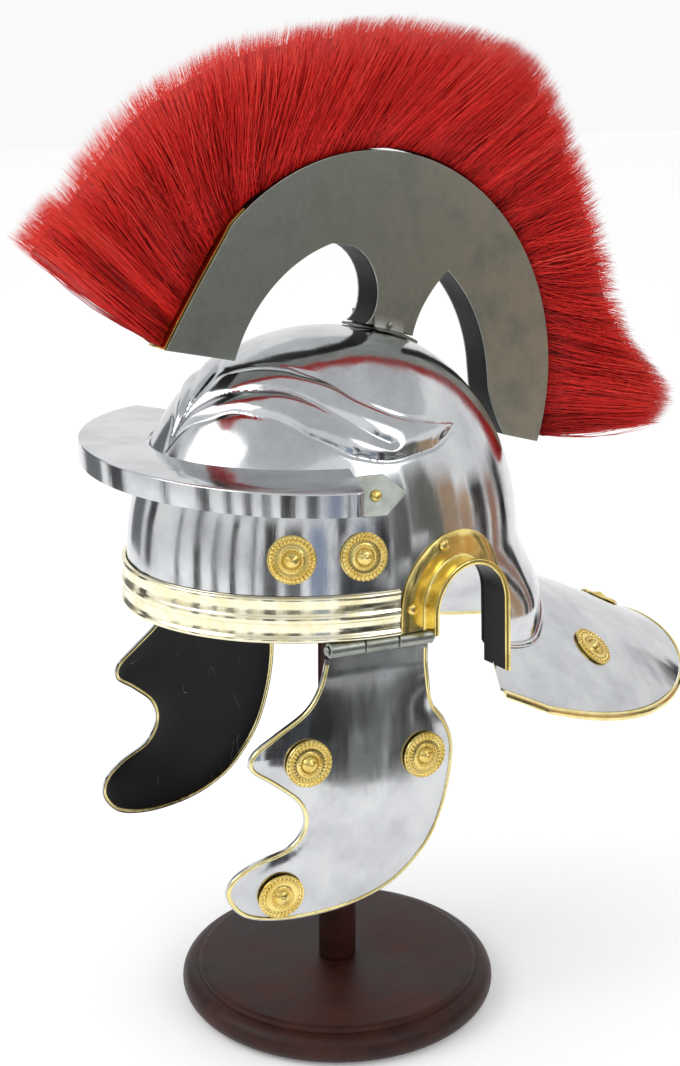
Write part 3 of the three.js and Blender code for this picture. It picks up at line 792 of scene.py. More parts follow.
def ear_outline(grow, bottom, steps=40):
    turn = np.linspace(0, np.pi, steps)
    arch = np.stack([EAR_MIDDLE + (EAR_HALF + grow) * np.cos(turn),
                     EAR_SPRING + (EAR_TOP - EAR_SPRING + grow) * np.sin(turn)], -1)
    rear = [(EAR_REAR_Y + grow + 3, bottom)]
    front = [(EAR_FRONT_Y - grow, bottom)]
    return np.concatenate([rear, arch, front])


# %% Raise, hollow and trim the bowl
def under_guard(rise, depth):
    """A thick slab whose top follows the neck guard's sheet."""
    across = np.linspace(-124, 124, 63)
    sections = []
    for y in np.linspace(16, 236, 56):
        top = np.stack([across, np.full_like(across, y), guard_height(across, y) + rise], -1)
        sections.append(np.concatenate([top, top[::-1] - (0, 0, depth)]))
    return loft(sections)


bowl = link("bowl_raised", to_mesh("bowl_raised", *bowl_skin(0.0, 500, 150, 14, emboss)))
cut(bowl, bowl_skin(-WALL, 160, 40, 8))
cut(bowl, slab([(-140, 150), (16, 150), (16, RIM), (-140, RIM)], -140, 140))
cut(bowl, under_guard(0.35, 60))
cut(bowl, slab(ear_outline(0, 190), -140, 140))

finished(bowl, [polished_steel, black_paint], "helmet", ["bowl"], 30)
centres = np.empty(len(bowl.data.polygons) * 3)
normals = np.empty_like(centres)
bowl.data.polygons.foreach_get("center", centres)
bowl.data.polygons.foreach_get("normal", normals)
centres = centres.reshape(-1, 3) / MM
outward = unit(centres - (0, CENTRE_Y, SHOULDER))
facing = (outward * normals.reshape(-1, 3)).sum(1)
bowl.data.polygons.foreach_set("material_index", (facing < -0.25).astype(np.int32))
print("bowl faces", len(bowl.data.polygons))

# %% Nape bead
BEAD_RADIUS = 1.1
BEAD_RISE = 1.4
BEAD_START = 0.42
turn = np.linspace(BEAD_START, math.pi - BEAD_START, 120)
plan = np.stack([HALF_WIDTH * np.cos(turn), HALF_LENGTH * np.sin(turn)], -1)
wide = np.full(len(turn), 1.1)
for _ in range(6):
    y = CENTRE_Y + plan[:, 1] * wide
    wide = nape_flare(CENTRE_Y + plan[:, 1], guard_height(plan[:, 0] * wide, y) + BEAD_RISE)
bead = []
for step in np.arange(12) * 2 * np.pi / 12:
    reach = wide + (1.0 + BEAD_RADIUS * math.cos(step)) / 100
    x, y = plan[:, 0] * reach, CENTRE_Y + plan[:, 1] * reach
    bead.append(np.stack([x, y, guard_height(x, y) + BEAD_RISE + BEAD_RADIUS * math.sin(step)], -1))
add_piece("nape_bead", loft(np.stack(bead, 1)), polished_steel, "helmet", (), 60)
print("nape is", round(float(wide.max()), 2), "times as wide as the bowl")

# %% [markdown]
# ## Neck guard
# The neck guard is a broad steel apron, shaped in plan like a squared half ellipse. It is made here as a row
# of sections from the root under the nape out to its edge, each one a thin closed strip of sheet.

# %% Neck guard
SHEET = 1.6
GUARD_FRONT_Y = 32.0
GUARD_CORNER = GUARD_HALF - 4.0
SQUARED = 2 / 2.3
ROOT_INSIDE = 0.8
ROOT_BACK = 6.0


def guard_edge(grow, count=180):
    """The guard's plan edge from its left front corner round the back to the right one."""
    turn = np.linspace(0, np.pi, 241)
    c, s = np.cos(turn), np.clip(np.sin(turn), 0, 1)
    back = np.stack([(GUARD_HALF + grow) * np.sign(c) * np.abs(c) ** SQUARED,
                     GUARD_WIDEST_Y + (GUARD_LENGTH + grow) * s**SQUARED], -1)
    corner = GUARD_CORNER + grow
    return even(np.concatenate([[(corner, GUARD_FRONT_Y)], back, [(-corner, GUARD_FRONT_Y)]]), count)


def sheet_at(plan, rise):
    return np.append(plan, guard_height(plan[..., 0], plan[..., 1])[..., None] + rise, -1)


edge = guard_edge(0.0)
start = math.asin((GUARD_FRONT_Y + ROOT_BACK - CENTRE_Y) / (HALF_LENGTH - ROOT_INSIDE))
turn = np.linspace(start, math.pi - start, len(edge))
root = np.stack([(HALF_WIDTH - ROOT_INSIDE) * np.cos(turn), (HALF_LENGTH - ROOT_INSIDE) * np.sin(turn)], -1)
root[:, 1] += CENTRE_Y
root_flare = nape_flare(root[:, 1], guard_height(root[:, 0], root[:, 1]))
root = (root - (0, CENTRE_Y)) * root_flare[:, None] + (0, CENTRE_Y)
across = np.linspace(0, 1, 34)[None, :, None]
plan = root[:, None] * (1 - across) + edge[:, None] * across
sections = np.concatenate([sheet_at(plan, 0), sheet_at(plan, -SHEET)[:, ::-1]], 1)
add_piece("neck_guard_sheet", loft(sections), polished_steel, "helmet", ["neck_guard"])
print("neck guard sections", sections.shape)

# %% [markdown]
# ## Rolled brass edging
# The steel's free edges are bound with a folded brass strip. One helper sweeps a rounded section along any
# edge, and the neck guard and the cheek guards both use it.

# %% Edging
def oval(half_width, half_height, count=16, power=2.6):
    """A rounded section as (across, up) pairs."""
    turn = np.arange(count) * 2 * np.pi / count
    c, s = np.cos(turn), np.sin(turn)
    return np.stack([half_width * np.sign(c) * np.abs(c) ** (2 / power),
                     half_height * np.sign(s) * np.abs(s) ** (2 / power)], -1)


EDGING_MIDDLE = 1.475
EDGING_HALF = 1.1
section = oval(EDGING_HALF, 1.65)
tracks = [sheet_at(guard_edge(EDGING_MIDDLE + across, 260), up - 0.8) for across, up in section]
sections = np.stack(tracks, 1)
sections = sections[sections[:, :, 1].min(1) > GUARD_FRONT_Y + 0.1]
add_piece("neck_guard_binding", loft(sections), edge_brass, "helmet", ["neck_guard_edging"], 60)

# %% [markdown]
# ## Brow band
# A brass band runs round the brow: a rolled lower edge, a bead along its middle, and a thin upper edge. Its
# section is drawn once and carried round the bowl.

# %% Brow band
BAND_END_Y = -24.0
BAND_FOOT = RIM - 0.3
BEAD = [(0, 0.2), (1.6, 0), (2.6, 0.5), (3.05, 1.5), (2.6, 2.7), (1.7, 3.4), (1.45, 4.2), (1.5, 9.4),
        (1.9, 9.9), (2.4, 10.7), (2.6, 12), (2.4, 13.3), (1.9, 14.1), (1.5, 14.6), (1.45, 19.6),
        (1.8, 20.4), (2.15, 21.2), (2.25, 22.2), (2.1, 23.2), (1.4, 23.9), (0, 24)]


def wall_points(turn, out, height):
    """Points on the bowl's side wall, moved outwards by out."""
    x, y = HALF_WIDTH * np.cos(turn), CENTRE_Y + HALF_LENGTH * np.sin(turn)
    normal = unit(np.stack([np.cos(turn) / HALF_WIDTH, np.sin(turn) / HALF_LENGTH], -1))
    return np.stack([x + normal[..., 0] * out, y + normal[..., 1] * out, height + 0 * turn], -1)


end = math.asin((BAND_END_Y - CENTRE_Y) / HALF_LENGTH)
turn = np.linspace(-math.pi - end, end, 200)
tracks = [wall_points(turn, out + 0.35, BAND_FOOT + up) for out, up in BEAD]
sections = np.stack(tracks, 1)
add_piece("brow_band_brass", loft(sections), pale_brass, "helmet", ["brow_band"], 55)
print("band sections", sections.shape)

# %% [markdown]
# ## Ear guards
# Each ear opening has a brass guard: a strip riveted flat on the bowl round the arch, and a flange turned
# straight out from its inner edge, with a narrow lip. Strip and flange are one sheet, so they are one section
# here, carried up the front leg, over the arch and down the longer rear leg.

# %% Ear guards
EAR_SHEET = 1.1
FLANGE_X = 109.0
STRIP = [(15, 0.35), (15, 1.1), (14.6, 1.45), (8, 1.45), (3, 1.45), (2.1, 1.6), (1.6, 2.1), (1.35, 2.9)]
FLANGE = [(1.35, -1.6), (1.7, -1.2), (2.6, -1.2), (3.0, -0.9), (3.0, -0.3), (2.6, 0), (1.0, 0),
          (0.4, -0.3), (0.2, -1.2)]
INNER = [(0.2, 2.4), (0.2, 0.35), (5, 0.35), (10, 0.35)]


def ear_stations():
    """(kind, share) pairs: up the front leg, round the arch, down the rear leg."""
    front = [("front", t) for t in np.linspace(0, 1, 5)[:-1]]
    arch = [("arch", t) for t in np.linspace(math.pi, 0, 61)]
    rear = [("rear", t) for t in np.linspace(0, 1, 18)[1:]]
    return front + arch + rear


def ear_place(kind, share, grow):
    """(y, z) of the ear arch moved outwards by grow."""
    if kind == "arch":
        return (EAR_MIDDLE + (EAR_HALF + grow) * math.cos(share),
                EAR_SPRING + (EAR_TOP - EAR_SPRING + grow) * math.sin(share))
    if kind == "front":
        return EAR_FRONT_Y - grow, RIM + (EAR_SPRING - RIM) * share
    y = EAR_REAR_Y + grow
    foot = float(guard_height(101.0, y)) + 1.4
    return y + 3 * share * (EAR_SPRING - foot) / 74.0, EAR_SPRING + (foot - EAR_SPRING) * share


def ear_point(kind, share, grow, out=None, reach=None):
    y, z = ear_place(kind, share, grow)
    if reach is not None:
        return FLANGE_X + reach, y, z
    return float(bowl_side(np.array(y), np.array(z))) + out, y, z


ear_sections = []
for kind, share in ear_stations():
    ring = [ear_point(kind, share, grow, out=out) for grow, out in STRIP]
    ring += [ear_point(kind, share, grow, reach=reach) for grow, reach in FLANGE]
    ring += [ear_point(kind, share, grow, out=out) for grow, out in INNER]
    ear_sections.append(ring)
ear_skin = loft(np.array(ear_sections))
ear_width = len(ear_sections[0])
# the flange's inner face, which looks into the ear opening, is given the black finish, so it shows dark
inner_face = {ear_width - len(INNER) - 1, ear_width - len(INNER)}
for side in ("left", "right"):
    skin = sided(ear_skin, side)
    guard = link(f"ear_guard_brass_{side}", to_mesh("ear_guard", *skin))
    finished(guard, [ear_brass, black_paint], "helmet", [f"ear_guard_{side}"], 50)
    paint_columns(guard, ear_width, inner_face)
print("ear guard stations", len(ear_sections))

# %% [markdown]
# ## Rosettes and rivets
# A rosette is pressed brass: a plain rim, a ring of fine ribs, a smooth hollow, and a domed boss with a
# small knob. It is turned from one profile, and the ribs are waves added round it.

# %% Rosette and rivet shapes
ROSETTE_PROFILE = [(0, 0), (12.0, 0), (12.4, 0.4), (12.35, 1.1), (12.05, 1.45), (11.7, 1.5), (11.4, 1.3),
                   (11.1, 1.45), (10.6, 1.8), (10.1, 1.95), (9.5, 1.9), (9.1, 1.65), (8.8, 1.3), (8.5, 1.2),
                   (8.1, 1.3), (7.3, 1.25), (6.5, 1.35), (6.2, 1.6), (5.9, 2.0), (5.5, 2.2), (5.1, 2.05),
                   (4.8, 1.7), (4.5, 1.7), (4.2, 2.2), (3.7, 2.9), (3.0, 3.6), (2.3, 4.0), (1.8, 4.1),
                   (1.5, 4.4), (1.0, 4.75), (0.5, 4.95), (0, 5.0)]
RIVET_PROFILE = [(0, 0), (3.0, 0), (3.0, 0.35), (2.85, 0.8), (2.45, 1.25), (1.8, 1.65), (1.0, 1.85), (0, 1.9)]


def chased(radius, turn):
    """Fine ribs round the outer ring, and finer ones on the inner ring."""
    ribs = np.exp(-(((radius - 10.1) / 1.0) ** 2)) * 0.62 * np.cos(30 * turn)
    inner = np.exp(-(((radius - 5.5) / 0.4) ** 2)) * 0.2 * np.cos(20 * turn)
    return ribs + inner


rosette = turned(ROSETTE_PROFILE, 180, chased)
rivet = turned(RIVET_PROFILE, 28)


def seated(skin, point, normal, gap):
    """Turns a button's axis to a surface's normal and sets it down a small gap above the surface."""
    normal = np.asarray(normal, float)
    level = unit(np.cross((0, 0, 1), normal)) if abs(normal[2]) < 0.999 else np.array([1.0, 0, 0])
    basis = np.array([level, np.cross(normal, level), normal])
    points, faces = skin
    return points @ basis + np.asarray(point) + normal * gap, faces


def on_bowl(y, z):
    x = float(bowl_side(np.array(y), np.array(z)))
    return (x, y, z), bowl_normal(np.array(x), np.array(y), np.array(z))


def add_pair(name, skin, body, node, finish=pressed_brass, crease=40.0):
    for side in ("left", "right"):
        own = sided(skin, side)
        riding = body.format(side=side)
        add_piece(f"{name}_{side}", own, finish, riding, [f"{node}_{side}"], crease)


# %% Rosettes and rivets on the helmet
for place, y in (("front", -75.0), ("rear", -42.0)):
    skin = seated(rosette, *on_bowl(y, 296.0), 0.35)
    add_pair(f"brow_boss_{place}", skin, "helmet", f"brow_rosette_{place}")
for place, y, z in (("top", 3.0, 296.0), ("front", -17.0, 266.0)):
    skin = seated(rivet, *on_bowl(y, z), EAR_SHEET + 0.9)
    add_pair(f"ear_stud_{place}", skin, "helmet", f"ear_rivet_{place}")


def on_guard(x, y):
    normal = unit(np.array([2 * GUARD_ARCH * x, GUARD_FALL + 2 * GUARD_SAG * (y - GUARD_PIVOT_Y), 1.0]))
    return (x, y, guard_height(x, y)), normal


def pressed_on_guard(x, y, lower=1.0):
    """A rosette bent to the neck guard's sheet, so that its rim lies down all round."""
    place, normal = on_guard(x, y)
    points, faces = seated((rosette[0] * (1, 1, lower), rosette[1]), place, normal, 0.3)
    flat = place[2] - ((points[:, :2] - (x, y)) @ normal[:2]) / normal[2]
    points[:, 2] += guard_height(points[:, 0], points[:, 1]) - flat
    return points, faces


add_pair("neck_boss", pressed_on_guard(76.0, 124.0), "helmet", "neck_rosette")
middle = pressed_on_guard(0.0, 196.0, 0.6)
add_piece("neck_boss_middle", middle, pressed_brass, "helmet", ["neck_rosette_middle"], 40)
print("rosette faces", len(rosette[1]))

# %% [markdown]
# ## Peak
# The peak is a flat steel crescent across the brow with its outer edge turned down into a lip. It ends on
# each side beside a pointed tab riveted to the bowl. A row of sections is carried from one end round the
# brow to the other, and each runs from the lip to the bowl.

# %% Peak
peak_low, peak_high = mm_box("peak")
PEAK_TOP = peak_high[2]
PEAK_HALF = peak_high[0]
PEAK_Y = -41.0
PEAK_DEPTH = PEAK_Y - peak_low[1]
PEAK_SHEET = 1.5
FOLD_LIMIT = 0.15    # below this the sections near the tail would cross each other, so they are left out
turn = np.linspace(-math.pi / 2, -0.3, 60)
front_edge = np.stack([PEAK_HALF * np.cos(turn), PEAK_Y + PEAK_DEPTH * np.sin(turn)], -1)
tail = curve([front_edge[-1], (121, -63), (110, -57.5), (99, -54.5), (90, -53), (86.2, -50), (84.6, -45)], 8)
half_edge = even(np.concatenate([front_edge, tail[1:]]), 130)
peak_edge = np.concatenate([half_edge[:0:-1] * (-1, 1), half_edge])
rise = (PEAK_TOP - SHOULDER) / (TOP - SHOULDER)
share = (1 - rise**FULL) ** (1 / FULL)
seat_radii = np.array([HALF_WIDTH * share + 1.3, HALF_LENGTH * share + 1.3])
toward = peak_edge - (0, CENTRE_Y)
turn = np.arctan2(toward[:, 1] / seat_radii[1], toward[:, 0] / seat_radii[0])
seat = np.stack([seat_radii[0] * np.cos(turn), CENTRE_Y + seat_radii[1] * np.sin(turn)], -1)
along = np.gradient(peak_edge, axis=0)
across = seat - peak_edge
turned_in = along[:, 0] * across[:, 1] - along[:, 1] * across[:, 0]
turned_in /= np.linalg.norm(along, axis=1) * np.linalg.norm(across, axis=1)
folded = np.flatnonzero(turned_in < FOLD_LIMIT)
ends = folded[folded < len(peak_edge) / 2].max() + 1
peak_edge, seat = peak_edge[ends:len(peak_edge) - ends], seat[ends:len(seat) - ends]
span = np.linalg.norm(seat - peak_edge, axis=1)
inward = unit(seat - peak_edge)
LIP_SECTION = [(0, -12), (0, -1.2), (0.15, -0.55), (0.55, -0.12), (1.2, 0)]
UNDER_SECTION = [(2.6, -1.5), (1.9, -1.9), (1.5, -2.7), (1.5, -12)]
sections = []
for edge_point, inner, width in zip(peak_edge, inward, span):
    ring = [(*(edge_point + inner * into), PEAK_TOP + up) for into, up in LIP_SECTION]
    for into, up in ((0.35, 0), (0.7, 0), (1, 0), (1, -PEAK_SHEET), (0.6, -PEAK_SHEET)):
        ring.append((*(edge_point + inner * (1.2 + (width - 1.2) * into)), PEAK_TOP + up))
    ring += [(*(edge_point + inner * min(into, width - 0.2)), PEAK_TOP + up) for into, up in UNDER_SECTION]
    sections.append(ring)
peak_skin = loft(np.array(sections))
add_piece("peak_steel", peak_skin, polished_steel, "helmet", ["peak"], 40)
print("peak sections", len(sections), "width", round(float(span.min()), 1), "to", round(float(span.max()), 1))

# %% [markdown]
# ## Tabs of the peak
# Each tab is a small pointed plate set flat against the bowl's side, fixed with one brass rivet. It was left
# from the abrasive belt, so it is satin beside the polished lip.

# %% Tabs
tab_point, tab_normal = on_bowl(-33.0, 325.0)
tab_along = unit(np.array([-tab_normal[1], tab_normal[0], 0.0]))
tab_up = np.cross(tab_normal, tab_along)
TAB_OUTLINE = [(-22, -2), (-22, 9), (-6, 10.5), (5, 10.5), (17, 0), (5, -10.5), (-6, -10.5)]


points, faces = slab(TAB_OUTLINE, 0.5, 2.0, 2)
tab_skin = np.asarray(tab_point) + points @ np.array([tab_along, tab_up, tab_normal]), faces
for side in ("left", "right"):
    skin = sided(tab_skin, side)
    tab = link(f"peak_tab_{side}", to_mesh("tab", *skin))
    soften(tab, 0.35)
    finished(tab, [satin_steel], "helmet", (), 20)
add_pair("peak_stud", seated(rivet, tab_point, tab_normal, 2.2), "helmet", "peak_rivet")
print("tab on the bowl at", [round(float(v), 1) for v in tab_point])

# %% [markdown]
# ## Crest box
# The crest stands on the crown on a stem: two satin steel cheeks, cut as a broad arch, are pinned to a black
# wooden core. The outline is drawn once, side on, from arcs and short curves, as it would be on the sheet.

# %% Crest outline
ARCH_CENTRE = np.array([15.6, 359.4])
ARCH_RADII = np.array([124.6, 129.2])
HOLLOW_CENTRE = np.array([11.1, 355.5])
HOLLOW_RADII = np.array([84.5, 88.6])
CREST_END = 318.0


def arc(centre, radii, first, last, steps):
    turn = np.linspace(first, last, steps)
    return centre + radii * np.stack([np.cos(turn), np.sin(turn)], -1)


def bezier(*corners, steps=14):
    """A curve pulled towards its inner corners, without its last point."""
    t = np.linspace(0, 1, steps, endpoint=False)[:, None]
    layer = [np.array(c, float) + 0 * t for c in corners]
    while len(layer) > 1:
        layer = [a * (1 - t) + b * t for a, b in zip(layer, layer[1:])]
    return layer[0]


def crest_outline():
    first = math.pi - math.asin((454 - ARCH_CENTRE[1]) / ARCH_RADII[1])
    last = math.asin((CREST_END - ARCH_CENTRE[1]) / ARCH_RADII[1])
    outer = arc(ARCH_CENTRE, ARCH_RADII, first, last, 90)
    rear_hollow = arc(HOLLOW_CENTRE, HOLLOW_RADII, 0.1, 0.86, 26)
    front_hollow = arc(HOLLOW_CENTRE, HOLLOW_RADII, math.pi / 2 + 0.24, math.pi - 0.34, 32)
    foot = np.linspace(43, 12, 12)
    stem_foot = np.stack([foot, bowl_height(0 * foot, foot, 2.2)], -1)
    runs = [bezier((-108, 394), (-92, 421), (-70, 452)), outer, [(109, 325)],
            bezier((109, 325), (99, 340), (96, 356))[1:], rear_hollow,
            bezier(rear_hollow[-1], (47, 406), stem_foot[0])[1:], stem_foot,
            bezier(stem_foot[-1], (24, 402), (24, 434), (0, 441))[1:], front_hollow]
    return np.concatenate(runs)


outline = crest_outline()
print("crest outline points", len(outline), "from", outline.min(0).round(1), "to", outline.max(0).round(1))

# %% [markdown]
# ## Crest cheeks, core and gilt strip
# The cheeks are cut from sheet and their edges dressed with a file, which leaves the thin bright line round
# them. The core is a little narrower. A brass strip closes the box along its outer edge, under the hair.

# %% Crest cheeks and core
plate_low, plate_high = mm_box("crest_plate_left")
for side in ("left", "right"):
    low, high = plate_low[0], plate_high[0]
    skin = slab(outline, low, high)
    skin = sided(skin, side)
    cheek = link(f"crest_cheek_{side}", to_mesh("crest_cheek", *skin))
    soften(cheek, 0.35)
    finished(cheek, [satin_steel], "helmet", [f"crest_plate_{side}"], 20)
core_low, core_high = mm_box("crest_core")
core = link("crest_core_black", to_mesh("crest_core", *slab(outline, core_low[0], core_high[0])))
finished(core, [black_wood], "helmet", ["crest_core"], 40)

# %% Gilt strip along the crest's outer edge
outer_run = outline[:18]
after = even(outer_run, 40)
half = core_high[0] - 0.1
strip = []
eased = half - 0.3
for out, across in ((0.1, -half), (0.7, -half), (0.9, -eased), (0.9, eased), (0.7, half), (0.1, half)):
    moved = beside(after, -out)
    strip.append(np.column_stack([np.full(len(moved), across), moved]))
add_piece("crest_edge_strip", loft(np.stack(strip, 1)), brass, "helmet", (), 50)
print("crest box", round(plate_high[0] * 2, 1), "mm thick")

# %% [markdown]
# ## Stem foot
# The stem stands in a low steel saddle on the crown, and a short folded strap with a rivet holds it there on
# each side.

# %% Stem foot
socket_low, socket_high = mm_box("crest_socket")
saddle = []
for y in np.linspace(socket_low[1], socket_high[1], 24):
    ring = []
    for x, rise in ((-7.5, 0.45), (-7.5, 1.3), (-7.0, 1.8), (7.0, 1.8), (7.5, 1.3), (7.5, 0.45), (0, 0.45)):
        ring.append((x, y, float(bowl_height(np.array(x), np.array(y), rise))))
    saddle.append(ring)
add_piece("crest_saddle", loft(np.array(saddle)), satin_steel, "helmet", ["crest_socket"], 40)

STRAP_SECTION = [(0.1, 9), (0.9, 9), (1.0, 2.2), (1.6, 1.3), (5, 0.35), (5, -0.3), (0.1, 0.2)]
strap_y = np.linspace(17.0, 36.0, 12)
for side in ("left", "right"):
    sections = []
    for y in strap_y:
        out = plate_high[0]
        foot = float(bowl_height(np.array(out), np.array(y), 0.5))
        sections.append([(out + across, y, foot + up) for across, up in STRAP_SECTION])
    skin = loft(np.array(sections))
    skin = sided(skin, side)
    add_piece(f"crest_strap_{side}", skin, satin_steel, "helmet", (), 40)
    pin = seated(rivet, (plate_high[0] + 0.9, 27.0, foot + 7.0), (1, 0, 0), 0.05)
    pin = (np.asarray(pin[0] - pin[0].mean(0)) * 0.6 + pin[0].mean(0), pin[1])
    pin = sided(pin, side)
    add_piece(f"crest_strap_pin_{side}", pin, satin_steel, "helmet", (), 40)
print("saddle from", socket_low.round(1), "to", socket_high.round(1))

# %% [markdown]
# ## Plume
# The crest's hair is set in tufts into the outer edge of the box and stands out like the ribs of a fan. It
# could be hair particles, but a real mesh survives export. So each strand is a thin three-sided tube that
# tapers to a point. Strands lean together in tufts, which gives the streaks and the uneven outline. A dark
# inner body of painted shade fills the depth between the tufts.

# %% Plume: where strands start and end
ROOT_LINE = [(-109, 396), (-93, 422), (-69, 456), (-40, 474), (0, 487), (40, 487.5), (80, 472), (112, 443),
             (133, 407), (142, 366), (140, 320)]
TIP_LINE = [(-184, 455), (-160, 479), (-120, 519), (-60, 547), (0, 556), (50, 558), (110, 548), (136, 530),
            (158, 492), (180, 442), (205, 376), (243, 338), (232, 319)]
plume_low, plume_high = mm_box("plume")
root_curve = curve(ROOT_LINE, 24)
tip_curve = curve(TIP_LINE, 20)
HALF_ROOT = 6.4
HALF_TIP = plume_high[0] * 0.93


def at(line, share):
    """A point of a sampled line at each share of it."""
    where = np.clip(share, 0, 1) * (len(line) - 1)
    return np.stack([np.interp(where, np.arange(len(line)), line[:, k]) for k in range(2)], -1)


def spread(run):
    """Half the plume's thickness at a share of the strand's length."""
    return HALF_ROOT + (HALF_TIP - HALF_ROOT) * smooth(run * 1.15)


# %% Plume: inner body of painted shade
INNER_SHARE = 0.84
INNER_THICK = 0.62
sections = []
for share in np.linspace(0, 1, 110):
    root, tip = at(root_curve, share), at(tip_curve, share)
    ring = []
    for run, side_way in ((0, -1), (0.25, -1), (0.5, -1), (0.75, -0.9), (0.95, -0.5), (1, 0), (0.95, 0.5),
                          (0.75, 0.9), (0.5, 1), (0.25, 1), (0, 1)):
        place = root + (tip - root) * (run * INNER_SHARE + 0.015)
        ring.append((side_way * INNER_THICK * float(spread(run * INNER_SHARE)), *place))
    sections.append(ring)
body = link("plume_painted_shade_body", to_mesh("plume_painted_shade_body", *loft(np.array(sections))))
tone_and_light_layer = body.data.attributes.new("tone", "FLOAT", "POINT")
# a low tone all over makes the body dark: painted shade for the depth between the tufts
tone_and_light_layer.data.foreach_set("value", np.full(len(body.data.vertices), 0.16, np.float32))
finished(body, [red_hair], "helmet", ["plume"], 60)

# %% Plume: strands
STRANDS = 4600
TUFTS = 330
STEPS = 6
STRAND_RADIUS = 0.36


def strands(name, first, last):
    """One length of the fan, from share first to share last of the crest's outer edge."""
    tuft = rng.integers(0, TUFTS, STRANDS)
    tuft_share = rng.uniform(first, last, TUFTS)
    tuft_side = rng.uniform(-1, 1, TUFTS)
    tuft_lean = rng.normal(0, 0.006, TUFTS)
    tuft_length = 1 - np.abs(rng.normal(0, 0.020, TUFTS))
    tuft_tone = rng.normal(0, 0.10, TUFTS)
    root_share = tuft_share[tuft] + rng.normal(0, 0.010, STRANDS)
    tip_share = tuft_share[tuft] + tuft_lean[tuft] + rng.normal(0, 0.0065, STRANDS)
    root, tip = at(root_curve, root_share), at(tip_curve, tip_share)
    side = np.clip(tuft_side[tuft] + rng.normal(0, 0.16, STRANDS), -1, 1)
    tip_side = np.clip(side + rng.normal(0, 0.12, STRANDS), -1, 1)
    length = np.clip(tuft_length[tuft] * (1 - np.abs(rng.normal(0, 0.022, STRANDS))), 0.5, 1)
    length *= 1 - 0.16 * np.abs(side) ** 3
    bend = rng.normal(0, 1.6, STRANDS) + rng.normal(0, 1.2, TUFTS)[tuft]
    run = np.linspace(0, 1, STEPS)
    flat = root[:, None] + (tip - root)[:, None] * (run[None, :, None] * length[:, None, None] + 0.004)
    across = unit((tip - root) @ np.array([[0, -1], [1, 0]]))
    flat = flat + across[:, None] * (bend[:, None] * np.sin(run * math.pi)[None])[..., None]
    sideways = side[:, None] * (1 - run) + tip_side[:, None] * run
    x = sideways * spread(run[None] * length[:, None])
    spine = np.concatenate([x[..., None], flat], -1)
    spine[..., 2] = np.minimum(spine[..., 2], CAD_HIGH.z / MM - 0.5)
    spine[..., 1] = np.clip(spine[..., 1], plume_low[1] + 0.5, plume_high[1] - 0.5)
    # painted shade near the roots rising to a painted highlight at the tips, plus random tone per tuft and
    # per strand
    painted_light_and_tone = 0.30 + 0.42 * run[None] + tuft_tone[tuft][:, None] + rng.normal(0, 0.09, STRANDS)[:, None]
    build_strands(name, spine, across, painted_light_and_tone)


def build_strands(name, spine, across, painted_light_and_tone):
    """Thin three-sided tubes along each spine, closed to a point at the tip."""
    count, steps = spine.shape[:2]
    radius = STRAND_RADIUS * (1 - 0.5 * np.linspace(0, 1, steps - 1))
    turn = np.arange(3) * 2 * np.pi / 3
    flat_way = np.concatenate([np.zeros((count, 1)), across], 1)[:, None, None]
    ring = spine[:, :-1, None] + radius[None, :, None, None] * (
        np.cos(turn)[:, None] * np.array([1.0, 0, 0]) + np.sin(turn)[:, None] * flat_way)
    points = np.concatenate([ring.reshape(count, -1, 3), spine[:, -1:]], 1)
    faces = []
    for step in range(steps - 2):
        for k in range(3):
            a, b = step * 3 + k, step * 3 + (k + 1) % 3
            faces += [(a, b, b + 3), (a, b + 3, a + 3)]
    last = (steps - 2) * 3
    tip = last + 3
    faces += [(last, last + 1, tip), (last + 1, last + 2, tip), (last + 2, last, tip), (0, 2, 1)]
    per = points.shape[1]
    all_faces = (np.array(faces)[None] + (np.arange(count) * per)[:, None, None]).reshape(-1, 3)
    mesh = bpy.data.meshes.new(name)
    mesh.from_pydata((points.reshape(-1, 3) * MM).tolist(), [], all_faces.tolist())
    tone_and_light_layer = mesh.attributes.new("tone", "FLOAT", "POINT")
    tones_and_painted_light = np.concatenate([np.repeat(painted_light_and_tone[:, :-1], 3, axis=1), painted_light_and_tone[:, -1:]], 1)
    tone_and_light_layer.data.foreach_set("value", np.clip(tones_and_painted_light, 0, 1).astype(np.float32).ravel())
    finished(link(name, mesh), [red_hair], "helmet", (), 180)
    print(name, len(all_faces), "triangles")


lengths = (("plume_front", 0.0, 0.27), ("plume_crown", 0.27, 0.52),
           ("plume_back", 0.52, 0.77), ("plume_tail", 0.77, 1.0))
for name, first, last in lengths:
    strands(name, first, last)

# %% [markdown]
# ## Cheek guards
# Each cheek guard hangs from a hinge. Its outline has a straight top, a rounded back, a long chin lobe and
# two hollows that leave the eye and mouth free. The sheet is flat at the hinge and dished below it. It is
# drawn flat as [along the hinge line, up from it], and then stood up in the hinge's own frame.

# %% Hinge frame and cheek surface
hinge = next(j for j in frame["joints"] if j["name"] == "cheek_hinge_left")
HINGE_TURN = 0.15
HINGE_POINT = np.array([86.5, -61.0, 248.8])
HINGE_LENGTH = 58.0
KNUCKLE = 4.0
OUT_WAY = np.array([math.cos(HINGE_TURN), -math.sin(HINGE_TURN), 0.0])
ALONG_WAY = np.array([math.sin(HINGE_TURN), math.cos(HINGE_TURN), 0.0])
CHEEK_SHEET = 1.3
CHEEK_INSET = -2.7
CHEEK_BULGE = 5.7
EDGE_TURN = 2.4
EDGE_TURN_WIDTH = 8.0


def at_hinge(out, along, up):
    """Points from hinge coordinates to the helmet's own."""
    out, along, up = np.broadcast_arrays(out, along, up)
    return HINGE_POINT + out[..., None] * OUT_WAY + along[..., None] * ALONG_WAY + up[..., None] * (0, 0, 1.0)


